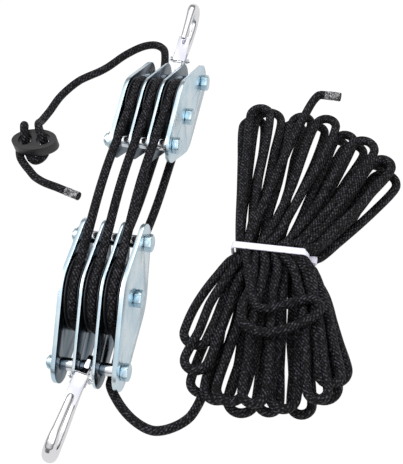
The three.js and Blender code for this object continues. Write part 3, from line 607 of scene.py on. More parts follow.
def placeSheaves():
    model = makeSheave()
    for prefix, place in blockPlaces.items():
        for side, x in bays.items():
            node = f"{prefix}_sheave_{side}"
            placeCopy(model, place @ Matrix.Translation((x, 0, 0)), "sheave", f"{node}_body", node)
    dropModels(model)


placeSheaves()
print("sheaves done")


# Spacer tubes and the axle sleeves
tubeSizes = {
    "radius": 7 * mm,
    "bore": 5.3 * mm,
    "spacerLength": 17.8 * mm,
    "sleeveLength": 60.6 * mm,
}


def makeTube(length):
    tube = crossCylinder("tube", (0, 0, 0), tubeSizes["radius"], length, 48)
    dressCaps(tube, [("inset", tubeSizes["radius"] - tubeSizes["bore"])])
    openBore(tube, tubeSizes["bore"])
    return roundAndShade(tube, 0.4 * mm, 2, 40)


def placeTubes():
    spacer = makeTube(tubeSizes["spacerLength"])
    sleeve = makeTube(tubeSizes["sleeveLength"])
    for prefix, place in blockPlaces.items():
        body = f"{prefix}_block"
        for side, x in bays.items():
            for end, along in (("rope", ropeEndReach), ("hook", -hookEndReach)):
                move = place @ Matrix.Translation((x, along, 0))
                placeCopy(spacer, move, "tube", body, f"{prefix}_{end}_spacer_{side}")
        placeCopy(sleeve, place, "tube", body, f"{prefix}_axle_sleeve")
    dropModels(spacer, sleeve)


placeTubes()
print("tubes done")


# Bolts and lock nuts
fastenerSizes = {
    "gap": 0.3 * mm,
    "boltRadius": 5 * mm,
    "flats": 17 * mm,
    "roundShare": 1.13,
    "headHeight": 7.5 * mm,
    "nutHeight": 6.6 * mm,
    "collarHeight": 3.4 * mm,
    "collarRadius": 7.4 * mm,
    "collarOverlap": 0.5 * mm,
    "stickOut": 1.5 * mm,
    "chamfer": 0.9 * mm,
    "turns": {"lower": math.radians(17), "upper": math.radians(51)},
}


# A hexagon across the block, its corners rounded off
def makeHexagon(name, centre, height):
    flats = fastenerSizes["flats"]
    hexagon = crossCylinder(name, (centre, 0, 0), flats / math.sqrt(3), height, 6)
    roundRadius = flats / 2 * fastenerSizes["roundShare"]
    roundOff = crossCylinder("round", (centre, 0, 0), roundRadius, height, 48)
    softenEdges(roundOff, fastenerSizes["chamfer"], 3, 40)
    applyModifier(hexagon, "BOOLEAN", operation="INTERSECT", object=roundOff, solver="EXACT")
    bpy.data.objects.remove(roundOff)
    return hexagon


def makeBolt():
    s = fastenerSizes
    inner = halfBlockWidth + s["gap"]
    end = -inner - s["nutHeight"] - s["collarHeight"] - s["stickOut"]
    centre = inner + s["headHeight"] / 2
    bolt = makeHexagon("bolt", centre, s["headHeight"])
    shank = crossCylinder("shank", ((centre + end) / 2, 0, 0), s["boltRadius"], centre - end, 40)
    softenEdges(shank, 0.7 * mm, 2, 40)
    addOn(bolt, shank)
    return roundAndShade(bolt, 0.2 * mm, 2, 50)


def makeNut():
    s = fastenerSizes
    inner = -halfBlockWidth - s["gap"]
    centre = inner - s["nutHeight"] / 2
    nut = makeHexagon("nut", centre, s["nutHeight"])
    collarCentre = inner - s["nutHeight"] - s["collarHeight"] / 2 + s["collarOverlap"] / 2
    collarLength = s["collarHeight"] + s["collarOverlap"]
    collar = crossCylinder("collar", (collarCentre, 0, 0), s["collarRadius"], collarLength, 48)
    softenEdges(collar, 1.2 * mm, 4, 40)
    addOn(nut, collar)
    boreRadius = s["boltRadius"] + s["gap"]
    cutAway(nut, crossCylinder("nutBore", (centre, 0, 0), boreRadius, cutterLength, 40))
    return roundAndShade(nut, 0.2 * mm, 2, 50)


def placeFasteners():
    models = {"bolt": makeBolt(), "nut": makeNut()}
    for prefix, place in blockPlaces.items():
        turn = Matrix.Rotation(fastenerSizes["turns"][prefix], 4, "X")
        for name, along in (("rope", ropeEndReach), ("axle", 0), ("hook", -hookEndReach)):
            move = place @ Matrix.Translation((0, along, 0)) @ turn
            for kind, model in models.items():
                placeCopy(model, move, "fastener", f"{prefix}_block", f"{prefix}_{name}_{kind}")
    dropModels(*models.values())


placeFasteners()
print("fasteners done")


# Hooks: a forged bar bent round the bowl, with an eye and a lug for the latch pin
hookSizes = {
    "eyeRadius": 8.4 * mm,
    "eyeOuterRadius": 13 * mm,
    "eyeThickness": 7 * mm,
    "bowlReach": hookReach,
    "bowlRadius": 21 * mm,
    "tipReach": 45 * mm,
    "tipRise": 24.4 * mm,
    "reachShares": (0.13, 0.21, 0.29, 0.41, 0.56, 0.71, 0.84),
    "dropShares": (0.07, 0.12, 0.19, 0.36, 0.57, 0.79, 0.94),
    "neck": (4 * mm, 6.5 * mm),
    "bowl": (7.2 * mm, 6 * mm),
    "tip": (4.2 * mm, 4.5 * mm),
    "bowlSteps": 14,
    "neckStations": 2,
    "tipShares": (0.33, 0.66),
    "nose": ((5 * mm, 1), (2 * mm, 0.9), (0.5 * mm, 0.68), (0, 0.35)),
    "lugThickness": 7 * mm,
    "lugRadius": 3.7 * mm,
    "lugRoots": ((8 * mm, 6 * mm, 5 * mm), (24 * mm, 0, 3 * mm)),
    "pinReach": 21.6 * mm,
    "pinRise": 13.9 * mm,
    "pinHole": 1.9 * mm,
    "meshSize": 0.75 * mm,
}


def easeShare(value, low, high):
    share = min(max((value - low) / (high - low), 0), 1)
    return share * share * (3 - 2 * share)


# Middle, heading and half sizes of each section, from the neck round the bowl to the tip
def hookStations():
    s = hookSizes
    line = [
        (s["bowlReach"] * r, -s["bowlRadius"] * d)
        for r, d in zip(s["reachShares"], s["dropShares"])
    ]
    middle = len(line) + s["bowlSteps"] / 2
    for k in range(s["bowlSteps"] + 1):
        turn = math.pi * k / s["bowlSteps"]
        reach = s["bowlReach"] + s["bowlRadius"] * math.sin(turn)
        line.append((reach, -s["bowlRadius"] * math.cos(turn)))
    tipStart = s["tipReach"] + s["nose"][0][0]
    for share in s["tipShares"]:
        reach = s["bowlReach"] + (tipStart - s["bowlReach"]) * share
        line.append((reach, s["bowlRadius"] + (s["tipRise"] - s["bowlRadius"]) * share))
    noseSizes = [1] * len(line) + [size for back, size in s["nose"]]
    line += [(s["tipReach"] + back, s["tipRise"]) for back, size in s["nose"]]
    last = len(line) - 1
    stations = []
    for i, (reach, rise) in enumerate(line):
        before = line[max(i - 1, 0)]
        after = line[min(i + 1, last)]
        heading = math.atan2(after[1] - before[1], -(after[0] - before[0]))
        grown = easeShare(i, s["neckStations"], middle)
        tapered = easeShare(i, middle, len(line) - len(s["nose"]))
        sizes = []
        for neck, bowl, tip in zip(s["neck"], s["bowl"], s["tip"]):
            value = neck + (bowl - neck) * grown
            sizes.append((value + (tip - value) * tapered) * noseSizes[i])
        stations.append((Vector((0, -reach, rise)), heading, *sizes))
    return stations


def makeHook():
    s = hookSizes
    stations = hookStations()
    first = stations[0]
    deselect()
    bpy.ops.mesh.primitive_circle_add(vertices=24, radius=1, fill_type="NGON")
    hook = bpy.context.object
    hook.name = "hook"
    # the section's own X stays across, its own Y points out of the bend
    start = Matrix.Translation(first[0]) @ Matrix.Rotation(first[1] + math.pi / 2, 4, "X")
    hook.matrix_world = start @ Matrix.Diagonal((first[2], first[3], 1, 1))
    applyPlace()
    startEdit(hook)
    bpy.ops.mesh.select_all(action="SELECT")
    for before, after in zip(stations, stations[1:]):
        bpy.ops.mesh.extrude_region_move(TRANSFORM_OT_translate={"value": after[0] - before[0]})
        swing = Matrix.Rotation(after[1] - before[1], 4, "X")
        grow = (after[2] / before[2], after[3] / before[3], after[3] / before[3])
        work = bmesh.from_edit_mesh(hook.data)
        for vert in work.verts:
            if vert.select:
                vert.co = after[0] + (swing @ (vert.co - after[0])) * Vector(grow)
        bmesh.update_edit_mesh(hook.data)
    bpy.ops.mesh.select_all(action="SELECT")
    bpy.ops.mesh.normals_make_consistent(inside=False)
    endEdit()
    eye = crossCylinder("eye", (0, 0, 0), s["eyeOuterRadius"], s["eyeThickness"], 64)
    softenEdges(eye, 1.6 * mm, 4, 40)
    addOn(hook, eye)
    addOn(hook, makeLug())
    cutAway(hook, crossCylinder("eyeBore", (0, 0, 0), s["eyeRadius"], cutterLength, 64))
    applyModifier(hook, "REMESH", mode="VOXEL", voxel_size=s["meshSize"])
    applyModifier(hook, "SMOOTH", factor=0.5, iterations=6)
    pinPlace = (0, -s["pinReach"], s["pinRise"])
    cutAway(hook, crossCylinder("pinBore", pinPlace, s["pinHole"], cutterLength, 24))
    smoothShade(hook, 40)
    return hook


# The lug that carries the latch pin
def makeLug():
    s = hookSizes
    length = s["lugThickness"]
    discs = [crossCylinder("lug", (0, -s["pinReach"], s["pinRise"]), s["lugRadius"], length, 32)]
    for reach, rise, radius in s["lugRoots"]:
        discs.append(crossCylinder("lug", (0, -reach, rise), radius, length, 24))
    lug = wrapHull(discs)
    endEdit()
    return lug


# Latches: a pressed channel that closes the hook's mouth
latchSizes = {
    "sheet": 1.2 * mm,
    "innerHalfWidth": 6 * mm,
    "rise": 5.2 * mm,
    "length": 31 * mm,
    "earNose": 3.1 * mm,
    "earEndDepth": 2.5 * mm,
    "taperRise": -1.6 * mm,
    "hole": 1.9 * mm,
    "pinRadius": 1.6 * mm,
    "pinHeadRadius": 2.6 * mm,
    "pinHead": 1 * mm,
    "pinHalfLength": 13 * mm,
}


def makeLatch():
    s = latchSizes
    width = 2 * (s["innerHalfWidth"] + s["sheet"])
    near, far = s["earNose"], -s["length"]
    low, high = -s["earNose"], s["rise"]
    size = (width, near - far, high - low)
    latch = makeBox("latch", size, (0, (near + far) / 2, (low + high) / 2))
    startEdit(latch)
    # the ears taper towards the free end
    bpy.ops.mesh.select_all(action="SELECT")
    taperStart = Vector((0, far / 3, s["taperRise"]))
    run = Vector((0, far, s["rise"] - s["earEndDepth"])) - taperStart
    bpy.ops.mesh.bisect(
        plane_co=taperStart, plane_no=(0, run.z, -run.y), clear_inner=True, use_fill=True
    )
    choose(latch, "FACE", lambda f: f.normal.z < -0.3 or abs(f.normal.y) > 0.9)
    bpy.ops.mesh.delete(type="FACE")
    endEdit()
    applyModifier(latch, "SOLIDIFY", thickness=s["sheet"], offset=-1)
    cutAway(latch, crossCylinder("latchHole", (0, 0, 0), s["hole"], cutterLength, 24))
    return roundAndShade(latch, 0.3 * mm, 2, 40)


def makePin():
    s = latchSizes
    pin = crossCylinder("pin", (0, 0, 0), s["pinRadius"], 2 * (s["pinHalfLength"] - s["pinHead"]), 32)
    head = [
        ("push", 0.01 * mm),
        ("inset", s["pinRadius"] - s["pinHeadRadius"]),
        ("push", s["pinHead"]),
    ]
    dressCaps(pin, head)
    return roundAndShade(pin, 0.25 * mm, 2, 40)


# Latch springs: one wire with a leg, a coil, the bridge, a coil and a leg
springSizes = {
    "wire": 0.5 * mm,
    "start": 8 * mm,
    "turns": 2,
    "pitch": 1.6 * mm,
    "coilRadius": 2.6 * mm,
    "legLength": 9 * mm,
    "bridgeReach": 4.5 * mm,
    "bridgeRise": 3.4 * mm,
    "stepsPerTurn": 24,
}


def makeSpring():
    s = springSizes
    radius = s["coilRadius"]
    half = [(s["start"], -s["legLength"], radius), (s["start"], 0, radius)]
    for k in range(1, s["turns"] * s["stepsPerTurn"] + 1):
        share = k / s["stepsPerTurn"]
        turn = 2 * math.pi * share
        half.append((s["start"] + s["pitch"] * share, radius * math.sin(turn), radius * math.cos(turn)))
    end = s["start"] + s["turns"] * s["pitch"]
    half.append((end, s["bridgeReach"], s["bridgeRise"]))
    half.append((end / 2, s["bridgeReach"] + s["wire"], s["bridgeRise"]))
    points = half + [(-x, y, z) for x, y, z in reversed(half)]
    curve = bpy.data.curves.new("latchSpring", "CURVE")
    curve.dimensions = "3D"
    curve.bevel_depth = s["wire"]
    curve.bevel_resolution = 3
    curve.use_fill_caps = True
    spline = curve.splines.new("POLY")
    spline.points.add(len(points) - 1)
    for spot, point in zip(spline.points, points):
        spot.co = (*point, 1)
    spring = bpy.data.objects.new("latchSpring", curve)
    bpy.context.scene.collection.objects.link(spring)
    pick(spring)
    bpy.ops.object.convert(target="MESH")
    spring = bpy.context.object
    smoothShade(spring, 60)
    return spring


def placeHooks():
    models = {
        "hook": (makeHook(), "hook"),
        "latch": (makeLatch(), "latch"),
        "latch_pin": (makePin(), "tube"),
        "latch_spring": (makeSpring(), "wire"),
    }
    pivot = Matrix.Translation((0, -hookSizes["pinReach"], hookSizes["pinRise"]))
    for prefix, place in hookPlaces.items():
        for kind, (model, finish) in models.items():
            move = place if kind == "hook" else place @ pivot
            body = f"{prefix}_latch_body" if kind == "latch" else f"{prefix}_hook_body"
            placeCopy(model, move, finish, body, f"{prefix}_{kind}")
    dropModels(*(model for model, finish in models.values()))


placeHooks()
print("hooks done")


# Ropes: a tube along a smooth route, with a map that runs along and round it
spanSteps = 12


def smoothRoute(points, spacing):
    padded = [2 * points[0] - points[1], *points, 2 * points[-1] - points[-2]]
    fine = []
    for i in range(1, len(padded) - 2):
        corners = padded[i - 1 : i + 3]
        times = [0.0]
        for before, after in zip(corners, corners[1:]):
            times.append(times[-1] + max((after - before).length, 1e-9) ** 0.5)
        for k in range(spanSteps):
            now = times[1] + (times[2] - times[1]) * k / spanSteps
            level = list(corners)
            for depth in (1, 2, 3):
                level = [
                    level[j].lerp(level[j + 1], (now - times[j]) / (times[j + depth] - times[j]))
                    for j in range(4 - depth)
                ]
            fine.append(level[0])
    fine.append(points[-1].copy())
    return evenRoute(fine, spacing)


def evenRoute(points, spacing):
    lengths = [(b - a).length for a, b in zip(points, points[1:])]
    total = sum(lengths)
    count = max(int(round(total / spacing)), 2)
    even = [points[0].copy()]
    done = 0.0
    index = 0
    for k in range(1, count):
        target = total * k / count
        while done + lengths[index] < target:
            done += lengths[index]
            index += 1
        even.append(points[index].lerp(points[index + 1], (target - done) / lengths[index]))
    even.append(points[-1].copy())
    return even


def routeLength(points):
    return sum((b - a).length for a, b in zip(points, points[1:]))


def ropeTube(name, route, sides):
    verts = []
    runs = [0.0]
    for a, b in zip(route, route[1:]):
        runs.append(runs[-1] + (b - a).length)
    last = len(route) - 1
    startAcross = abs((route[1] - route[0]).normalized().x) < 0.9
    across = Vector((1, 0, 0)) if startAcross else Vector((0, 0, 1))
    for i, point in enumerate(route):
        along = (route[min(i + 1, last)] - route[max(i - 1, 0)]).normalized()
        across = (across - along * across.dot(along)).normalized()
        up = along.cross(across)
        for k in range(sides):
            turn = 2 * math.pi * k / sides
            verts.append(point + (across * math.cos(turn) + up * math.sin(turn)) * ropeRadius)
    faces = []
    maps = []
    for i in range(last):
        for k in range(sides):
            a = i * sides + k
            b = i * sides + (k + 1) % sides
            faces.append((a, b, b + sides, a + sides))
            for run, step in ((i, k), (i, k + 1), (i + 1, k + 1), (i + 1, k)):
                maps.append((runs[run], step / sides))
    faces.append(tuple(reversed(range(sides))))
    maps += [(runs[0], k / sides) for k in reversed(range(sides))]
    faces.append(tuple(last * sides + k for k in range(sides)))
    maps += [(runs[last], k / sides) for k in range(sides)]
    mesh = bpy.data.meshes.new(name)
    mesh.from_pydata([tuple(v) for v in verts], [], faces)
    layer = mesh.uv_layers.new(name="ropeMap")
    for spot, value in zip(layer.data, maps):
        spot.uv = value
    mesh.update()
    rope = bpy.data.objects.new(name, mesh)
    bpy.context.scene.collection.objects.link(rope)
    smoothShade(rope, 60)
    return rope


def finishRope(rope, *nodes):
    material, slot = finishes["rope"]
    rope.data.materials.append(material)
    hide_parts(*nodes)


reeving = {
    "exitBendRadius": 20 * mm,
    "exitRun": 20 * mm,
    "exitSteps": 12,
    "arcSteps": 40,
    "fallSteps": 24,
    "frontBow": (-3.5 * mm, 1.5 * mm),
    "backBow": (5.5 * mm, 2 * mm),
}


def reevedRoute():
    points = []

    def addArc(x, axleY, start, end):
        steps = max(int(reeving["arcSteps"] * abs(end - start) / math.pi), 2)
        for k in range(steps + 1):
            turn = start + (end - start) * k / steps
            y = axleY + ropeLineRadius * math.cos(turn)
            points.append(Vector((x, y, cheekRadius + ropeLineRadius * math.sin(turn))))

    def addFall(x0, y0, x1, y1, z, bow):
        for k in range(1, reeving["fallSteps"]):
            t = k / reeving["fallSteps"]
            swell = math.sin(math.pi * t) ** 2
            x = x0 + (x1 - x0) * t + bow[0] * swell
            points.append(Vector((x, y0 + (y1 - y0) * t, z + bow[1] * swell)))

    def exitPoints(x, axleY, towards):
        bend = reeving["exitBendRadius"]
        bendY = axleY + towards * (ropeLineRadius + bend)
        bendZ = groundLine + bend
        way = []
        for k in range(reeving["exitSteps"] + 1):
            turn = math.pi / 2 * k / reeving["exitSteps"]
            y = bendY - towards * bend * math.cos(turn)
            way.append(Vector((x, y, bendZ - bend * math.sin(turn))))
        way.append(Vector((x, bendY + towards * reeving["exitRun"], groundLine)))
        return way

    top = math.pi / 2
    front = cheekRadius + ropeLineRadius
    back = cheekRadius - ropeLineRadius
    points += reversed(exitPoints(-bayPitch, upperAxleY, 1))
    addArc(-bayPitch, upperAxleY, 0, top)
    for x in (-bayPitch, 0):
        addFall(x, upperAxleY, x, lowerAxleY, front, reeving["frontBow"])
        addArc(x, lowerAxleY, top, top + math.pi)
        addFall(x, lowerAxleY, x + bayPitch, upperAxleY, back, reeving["backBow"])
        addArc(x + bayPitch, upperAxleY, -top, top)
    addFall(bayPitch, upperAxleY, bayPitch, lowerAxleY, front, reeving["frontBow"])
    addArc(bayPitch, lowerAxleY, top, math.pi)
    points += exitPoints(bayPitch, lowerAxleY, -1)
    return [p + setShift for p in points]


# Route points are measured from the lower axle's foot, as in the part's source
def fromLowerAxle(table):
    return [Vector((x * mm, lowerAxleY + y * mm, z * mm)) + setShift for x, y, z in table]


ring = {
    "centre": (-150.5 * mm, 210.5 * mm),
    "turn": math.radians(6),
    "floor": 12 * mm,
    "height": 14 * mm,
    "halfLength": 28.5 * mm,
    "halfWidth": 16 * mm,
    "holeSpacing": 11.5 * mm,
    "holeRadius": 8.6 * mm,
}
ringPlace = (
    Matrix.Translation(setShift + Vector((ring["centre"][0], lowerAxleY + ring["centre"][1], 0)))
    @ Matrix.Rotation(ring["turn"], 4, "Z")
)


def fromRing(table):
    return [ringPlace @ (Vector(point) * mm) for point in table]


reevedPoints = evenRoute(reevedRoute(), 1.8 * mm)
reevedRope = ropeTube("reeved_rope_finished", reevedPoints, 20)
finishRope(reevedRope, "reeved_rope")
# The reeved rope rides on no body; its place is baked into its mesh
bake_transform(reevedRope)
print("reeved rope done, mm", round(routeLength(reevedPoints) / mm))

# Heights of a rope's middle on the floor, bare and taped, in mm
line = groundLine / mm
tapedLine = 6.1
seatGap = 0.3 * mm


def onFloor(table, height):
    return fromLowerAxle([(x, y, height) for x, y in table])


# Down from the upper block, round to the ring, through its two holes and on to the taped end
tailStart = reevedPoints[0]
tailPoints = [
    tailStart + Vector((0, seatGap, 0)),
    tailStart + Vector((0, seatGap + ropeRadius, 0)),
    *onFloor([(-30.5, 388.2), (-41.3, 396.3), (-51, 396.7), (-63.7, 391.3), (-83.4, 373.3)], line),
    *onFloor([(-97.5, 354.5), (-108.8, 343.6), (-128.6, 328.4), (-142, 309)], line),
    *onFloor([(-149.1, 293.3), (-154.1, 273.4)], line),
    *fromRing([(-3, 42, 10), (0, 28, 23), (3, 19, 30), (6, 11, 31.4), (10, 3, 27), (11.5, 0, 20)]),
    *fromRing([(11.5, -0.5, 12), (10.5, -5, 6.4), (7, -13, line), (0, -17.5, line), (-7, -13, line)]),
    *fromRing([(-10.5, -5, 6.4), (-11.5, -0.5, 12), (-11.5, 0, 20), (-12, 3, 27), (-13, 10, 31.6)]),
    *fromRing([(-15, 18, 30.5), (-17, 22.5, 24), (-20, 22.5, 15), (-23, 18, 7.5), (-24, 8, line)]),
    *fromRing([(-23.5, -3, line), (-20, -13, line), (-13, -23, line)]),
    *onFloor([(-152.5, 178.5), (-142.1, 169.3), (-126.9, 162)], line),
    *onFloor([(-112.8, 157.6), (-97.5, 152.8), (-79.2, 147)], tapedLine),
]
tailRoute = smoothRoute(tailPoints, 1.8 * mm)
tailRope = ropeTube("tail_rope_finished", tailRoute, 20)
finishRope(tailRope, "tail_rope")
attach(tailRope, "upper_block")
print("tail rope done, mm", round(routeLength(tailRoute) / mm))

# The hank: 31 passes through the waist, eight abreast and four deep, joined by loops that fan out.
# Places are in mm from the waist's middle; tip shares run along the two rows of tips, left to right
hank = {
    "x": 167,
    "y": 78,
    "passes": 31,
    "abreast": 8,
    "layers": 4,
    "layerPitch": 10.9,
    "waistLeft": -36.8,
    "waistPitch": 9.71,
    "waistStagger": 1.6,
    "waistLift": 2,
    "topTips": [(-64, 206), (-36, 213), (-4, 203), (34, 192), (60, 177), (88, 160), (112, 132)],
    "bottomTips": [(-68, -110), (-58, -154), (-30, -168), (0, -174), (40, -170), (76, -158), (86, -128)],
    "topShares": [0.02, 0.3, 0.58, 0.88, 1, 0.72, 0.44, 0.14, 0.08, 0.36, 0.65, 0.94, 0.96, 0.8, 0.5],
    "bottomShares": [0.2, 0.46, 0.74, 1, 0.88, 0.6, 0.32, 0, 0.12, 0.4, 0.66, 0.94, 0.82, 0.54],
    "loopHalfWidths": (10, 15),
    "runShares": (0.1, 0.28, 0.52, 0.78),
    "flares": {"top": 0.75, "bottom": 0.6},
    "droop": 0.9,
    "wander": 2.2,
    "tipSteps": 6,
    "foldedLoop": [
        *((-14, -45, 41), (-19, -72, 45), (-12, -94, 47), (8, -101, 48), (34, -92, 48)),
        *((54, -78, 48), (61, -66, 48), (54, -57, 48), (36, -61, 48), (12, -73, 48)),
        *((-4, -72, 47), (-13, -52, 45), (-21, -26, 42)),
    ],
    "start": [(-45, -148, line), (-42, -110, line), (-44, -62, line), (-40, -24, 6.4)],
    "end": [(-20, 60, 39), (-8, 130, 38.1), (5, 190, 38.1), (17, 224.5, 38.1), (24, 225.5, 38.1)],
    "tapedEnd": (43, 224.5, 38.1),
}
hankDraw = random.Random(5)


def waistPoint(index):
    layer, spot = divmod(index, hank["abreast"])
    slot = spot if layer % 2 == 0 else hank["abreast"] - 1 - spot
    stagger = hank["waistStagger"] * (1 if slot % 2 else -1)
    height = line + hank["waistLift"] + stagger + layer * hank["layerPitch"]
    return Vector((hank["waistLeft"] + hank["waistPitch"] * slot, 0, height))


def alongTips(tips, share):
    place = share * (len(tips) - 1)
    index = min(int(place), len(tips) - 2)
    return Vector((*tips[index], 0)).lerp(Vector((*tips[index + 1], 0)), place - index)


# One loop between two passes, beyond the waist's top side or its bottom side
def hankLoop(index, side):
    first = waistPoint(index)
    second = waistPoint(index + 1)
    lobe = "top" if side > 0 else "bottom"
    tip = alongTips(hank[f"{lobe}Tips"], hank[f"{lobe}Shares"][index // 2])
    half = hankDraw.uniform(*hank["loopHalfWidths"])
    waist = Vector(((first.x + second.x) / 2, 0, 0))
    outward = (tip - waist).normalized()
    across = Vector((outward.y, -outward.x, 0))
    hand = 1 if (first.x - second.x) * across.x > 0 else -1
    shoulder = tip - outward * half
    low = line + ((first.z + second.z) / 2 - line - hank["waistLift"]) * hank["droop"]
    way = []

    def run(start, corner, shares):
        for share in shares:
            x = start.x + (corner.x - start.x) * share ** hank["flares"][lobe]
            x += hankDraw.uniform(-1, 1) * hank["wander"]
            z = start.z + (low - start.z) * share
            way.append(Vector((x, corner.y * share, z)))

    run(first, shoulder + across * hand * half, hank["runShares"])
    for k in range(hank["tipSteps"] + 1):
        turn = math.pi * k / hank["tipSteps"]
        spot = shoulder + (across * hand * math.cos(turn) + outward * math.sin(turn)) * half
        way.append(Vector((spot.x, spot.y, low)))
    run(second, shoulder - across * hand * half, reversed(hank["runShares"]))
    return way


def hankRoute():
    way = [Vector(point) for point in hank["start"]]
    for index in range(hank["passes"]):
        way.append(waistPoint(index))
        if index == hank["passes"] - 1:
            way += [Vector(point) for point in hank["end"]]
        elif index == hank["passes"] - 2:
            way += [Vector(point) for point in hank["foldedLoop"]]
        else:
            way += hankLoop(index, 1 if index % 2 == 0 else -1)
    way.append(Vector(hank["tapedEnd"]))
    return [(p.x + hank["x"], p.y + hank["y"], p.z) for p in way]


topLine = line + (hank["layers"] - 1) * hank["layerPitch"]
hankPoints = fromLowerAxle(hankRoute())
haulStart = reevedPoints[-1]
haulPoints = [
    haulStart + Vector((0, -seatGap, 0)),
    haulStart + Vector((0, -seatGap - ropeRadius, 0)),
    *onFloor([(30.5, -97), (44.6, -111), (61.2, -121.6), (78.7, -126.5)], line),
    *onFloor([(96.7, -120.2), (112, -106), (119, -84)], line),
]
spareRoute = smoothRoute(haulPoints + hankPoints, 2.6 * mm)
spareRope = ropeTube("spare_rope_finished", spareRoute, 16)
finishRope(spareRope, "hauling_rope", "rope_hank")
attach(spareRope, "lower_block")
print("spare rope done, mm", round(routeLength(spareRoute) / mm))


# Stop ring: a moulded oval with two rope holes
def makeRing():
    deselect()
    middle = ring["floor"] + ring["height"] / 2
    bpy.ops.mesh.primitive_cylinder_add(
        vertices=128, radius=1, depth=ring["height"], location=(0, 0, middle)
    )
    body = bpy.context.object
    body.name = "stop_ring_finished"
    body.scale = (ring["halfLength"], ring["halfWidth"], 1)
    applyPlace()
    for side in (-1, 1):
        deselect()
        bpy.ops.mesh.primitive_cylinder_add(
            vertices=64,
            radius=ring["holeRadius"],
            depth=2 * cutterLength,
            location=(side * ring["holeSpacing"], 0, ring["floor"]),
        )
        cutAway(body, bpy.context.object)
    return roundAndShade(body, 1.3 * mm, 4, 50, 40)


stopRing = makeRing()
finishPiece(stopRing, ringPlace, "ring", "upper_block", "stop_ring")
print("stop ring done")

# Cable tie round the hank's waist, in mm
tie = {
    "width": 7.5,
    "thickness": 1.3,
    "clearance": 0.5,
    "sideClearance": 1.6,
    "corner": 5,
    "headLength": 7,
    "headHeight": 9,
    "headWidth": 9,
    "headLevel": 30,
}


def makeTie():
    rope = ropeRadius / mm
    thick = tie["thickness"]
    left = hank["waistLeft"] - rope - tie["sideClearance"]
    right = waistPoint(hank["abreast"] - 1).x + rope + tie["sideClearance"]
    bottom = line + hank["waistLift"] - rope - tie["clearance"]
    top = topLine + hank["waistLift"] + rope + tie["clearance"]
    size = Vector((right - left + 2 * thick, tie["width"], top - bottom + 2 * thick)) * mm
    band = makeBox("cable_tie_finished", size, Vector(((left + right) / 2, 0, (bottom + top) / 2)) * mm)
    startEdit(band)
    choose(band, "EDGE", lambda e: abs(e.verts[0].co.y - e.verts[1].co.y) > 1 * mm)
    bpy.ops.mesh.bevel(offset=(tie["corner"] + thick) * mm, segments=10)
    choose(band, "FACE", lambda f: abs(f.normal.y) > 0.9)
    bpy.ops.mesh.delete(type="FACE")
    endEdit()
    applyModifier(band, "SOLIDIFY", thickness=thick * mm, offset=-1)
    headSize = Vector((tie["headHeight"], tie["headWidth"], tie["headLength"])) * mm
    headPlace = Vector((right + thick / 2 + tie["headHeight"] / 2, 0, tie["headLevel"])) * mm
    head = makeBox("tieHead", headSize, headPlace)
    softenEdges(head, 1.8 * mm, 4, 40)
    addOn(band, head)
    return roundAndShade(band, 0.3 * mm, 2, 50, 40)


cableTie = makeTie()
tiePlace = Matrix.Translation(setShift + Vector((hank["x"] * mm, lowerAxleY + hank["y"] * mm, 0)))
finishPiece(cableTie, tiePlace, "tie", "lower_block", "cable_tie")
print("cable tie done")

# Clear tape round the rope's two ends
tapeSizes = {"length": 18 * mm, "inner": 5.3 * mm, "outer": 5.7 * mm}


def makeTape(name, end, towards, body, node):
    deselect()
    bpy.ops.mesh.primitive_cylinder_add(
        vertices=48, radius=tapeSizes["outer"], depth=tapeSizes["length"], end_fill_type="NOTHING"
    )
    tape = bpy.context.object
    tape.name = name
    applyModifier(tape, "SOLIDIFY", thickness=tapeSizes["outer"] - tapeSizes["inner"], offset=-1)
    smoothShade(tape, 40)
    turn = towards.to_track_quat("Z", "Y").to_matrix().to_4x4()
    place = Matrix.Translation(end - towards * (tapeSizes["length"] / 2 + seatGap)) @ turn
    finishPiece(tape, place, "tape", body, node)
    return tape


tailTowards = (tailPoints[-1] - tailPoints[-2]).normalized()
tailTape = makeTape("tail_tape_finished", tailPoints[-1], tailTowards, "upper_block", "tail_tape")
hankTowards = (hankPoints[-1] - hankPoints[-2]).normalized()
hankTape = makeTape("hank_tape_finished", hankPoints[-1], hankTowards, "lower_block", "hank_tape")
print("tapes done")


# The floor is plain white where it is seen or mirrored, and still catches the lamps' light
studio = {
    "floorSize": 8,
    "whiteShare": 0.93,
    "whiteSeen": 1.05,
    "whiteMirrored": 0.74,
    "skyLow": (0.1, 0.12),
    "skyHigh": (0.8, 1.15),
    "lamps": [
        ("keyLamp", (-0.9, -0.2, 1.5), 1.2, 9),
        ("fillLamp", (0.9, -1.0, 1.3), 1.4, 5),
        ("backLamp", (0.2, 1.3, 1.2), 1.0, 5),
    ],
}


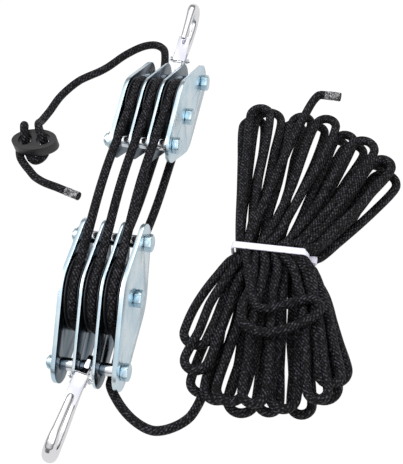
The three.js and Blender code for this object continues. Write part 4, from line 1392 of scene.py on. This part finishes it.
def makeFloor():
    deselect()
    bpy.ops.mesh.primitive_plane_add(size=studio["floorSize"], location=(0, 0, 0))
    floor = bpy.context.object
    floor.name = "studioFloor"
    material, tree, shader = startMaterial("whiteFloor", "#FFFFFF", 0, 0.9)
    shader.inputs["Specular IOR Level"].default_value = 0
    path = addNode(tree, "LightPath").node.outputs
    rays = {0: path["Is Camera Ray"], 1: path["Is Glossy Ray"]}
    seen = addNode(tree, "Math", {"operation": "MAXIMUM"}, rays)
    share = addNode(tree, "Math", {"operation": "MULTIPLY", 1: studio["whiteShare"]}, {0: seen})
    whites = {"To Min": studio["whiteMirrored"], "To Max": studio["whiteSeen"]}
    strength = addNode(tree, "MapRange", whites, {"Value": path["Is Camera Ray"]})
    glow = addNode(tree, "Emission", {}, {"Strength": strength})
    surface = addNode(tree, "MixShader", {}, {0: share, 1: shader.outputs[0], 2: glow})
    linkInputs(tree, tree.nodes["Material Output"], {"Surface": surface})
    floor.data.materials.append(material)


def makeLamps():
    for name, place, size, power in studio["lamps"]:
        lamp = bpy.data.lights.new(name, "AREA")
        lamp.shape = "SQUARE"
        lamp.size = size
        lamp.energy = power
        holder = bpy.data.objects.new(name, lamp)
        holder.location = place
        holder.rotation_euler = (-Vector(place)).to_track_quat("-Z", "Y").to_euler()
        bpy.context.scene.collection.objects.link(holder)


# The sky is white to the camera, and brighter towards the top for everything else
def makeSky():
    world = bpy.data.worlds.new("studioWorld")
    bpy.context.scene.world = world
    world.use_nodes = True
    tree = world.node_tree
    direction = addNode(tree, "TexCoord", output="Generated")
    height = addNode(tree, "SeparateXYZ", {}, {"Vector": direction}, "Z")
    (fromHeight, low), (toHeight, high) = studio["skyLow"], studio["skyHigh"]
    levels = {"From Min": fromHeight, "From Max": toHeight, "To Min": low, "To Max": high}
    light = addNode(tree, "MapRange", levels, {"Value": height})
    toCamera = addNode(tree, "LightPath", output="Is Camera Ray")
    strength = addNode(tree, "Mix", {"data_type": "FLOAT", 3: 1.0}, {0: toCamera, 2: light})
    background = tree.nodes["Background"]
    background.inputs["Color"].default_value = (1, 1, 1, 1)
    linkInputs(tree, background, {"Strength": strength})


makeFloor()
makeLamps()
makeSky()
bpy.context.scene.view_settings.view_transform = "Standard"
print("studio done")
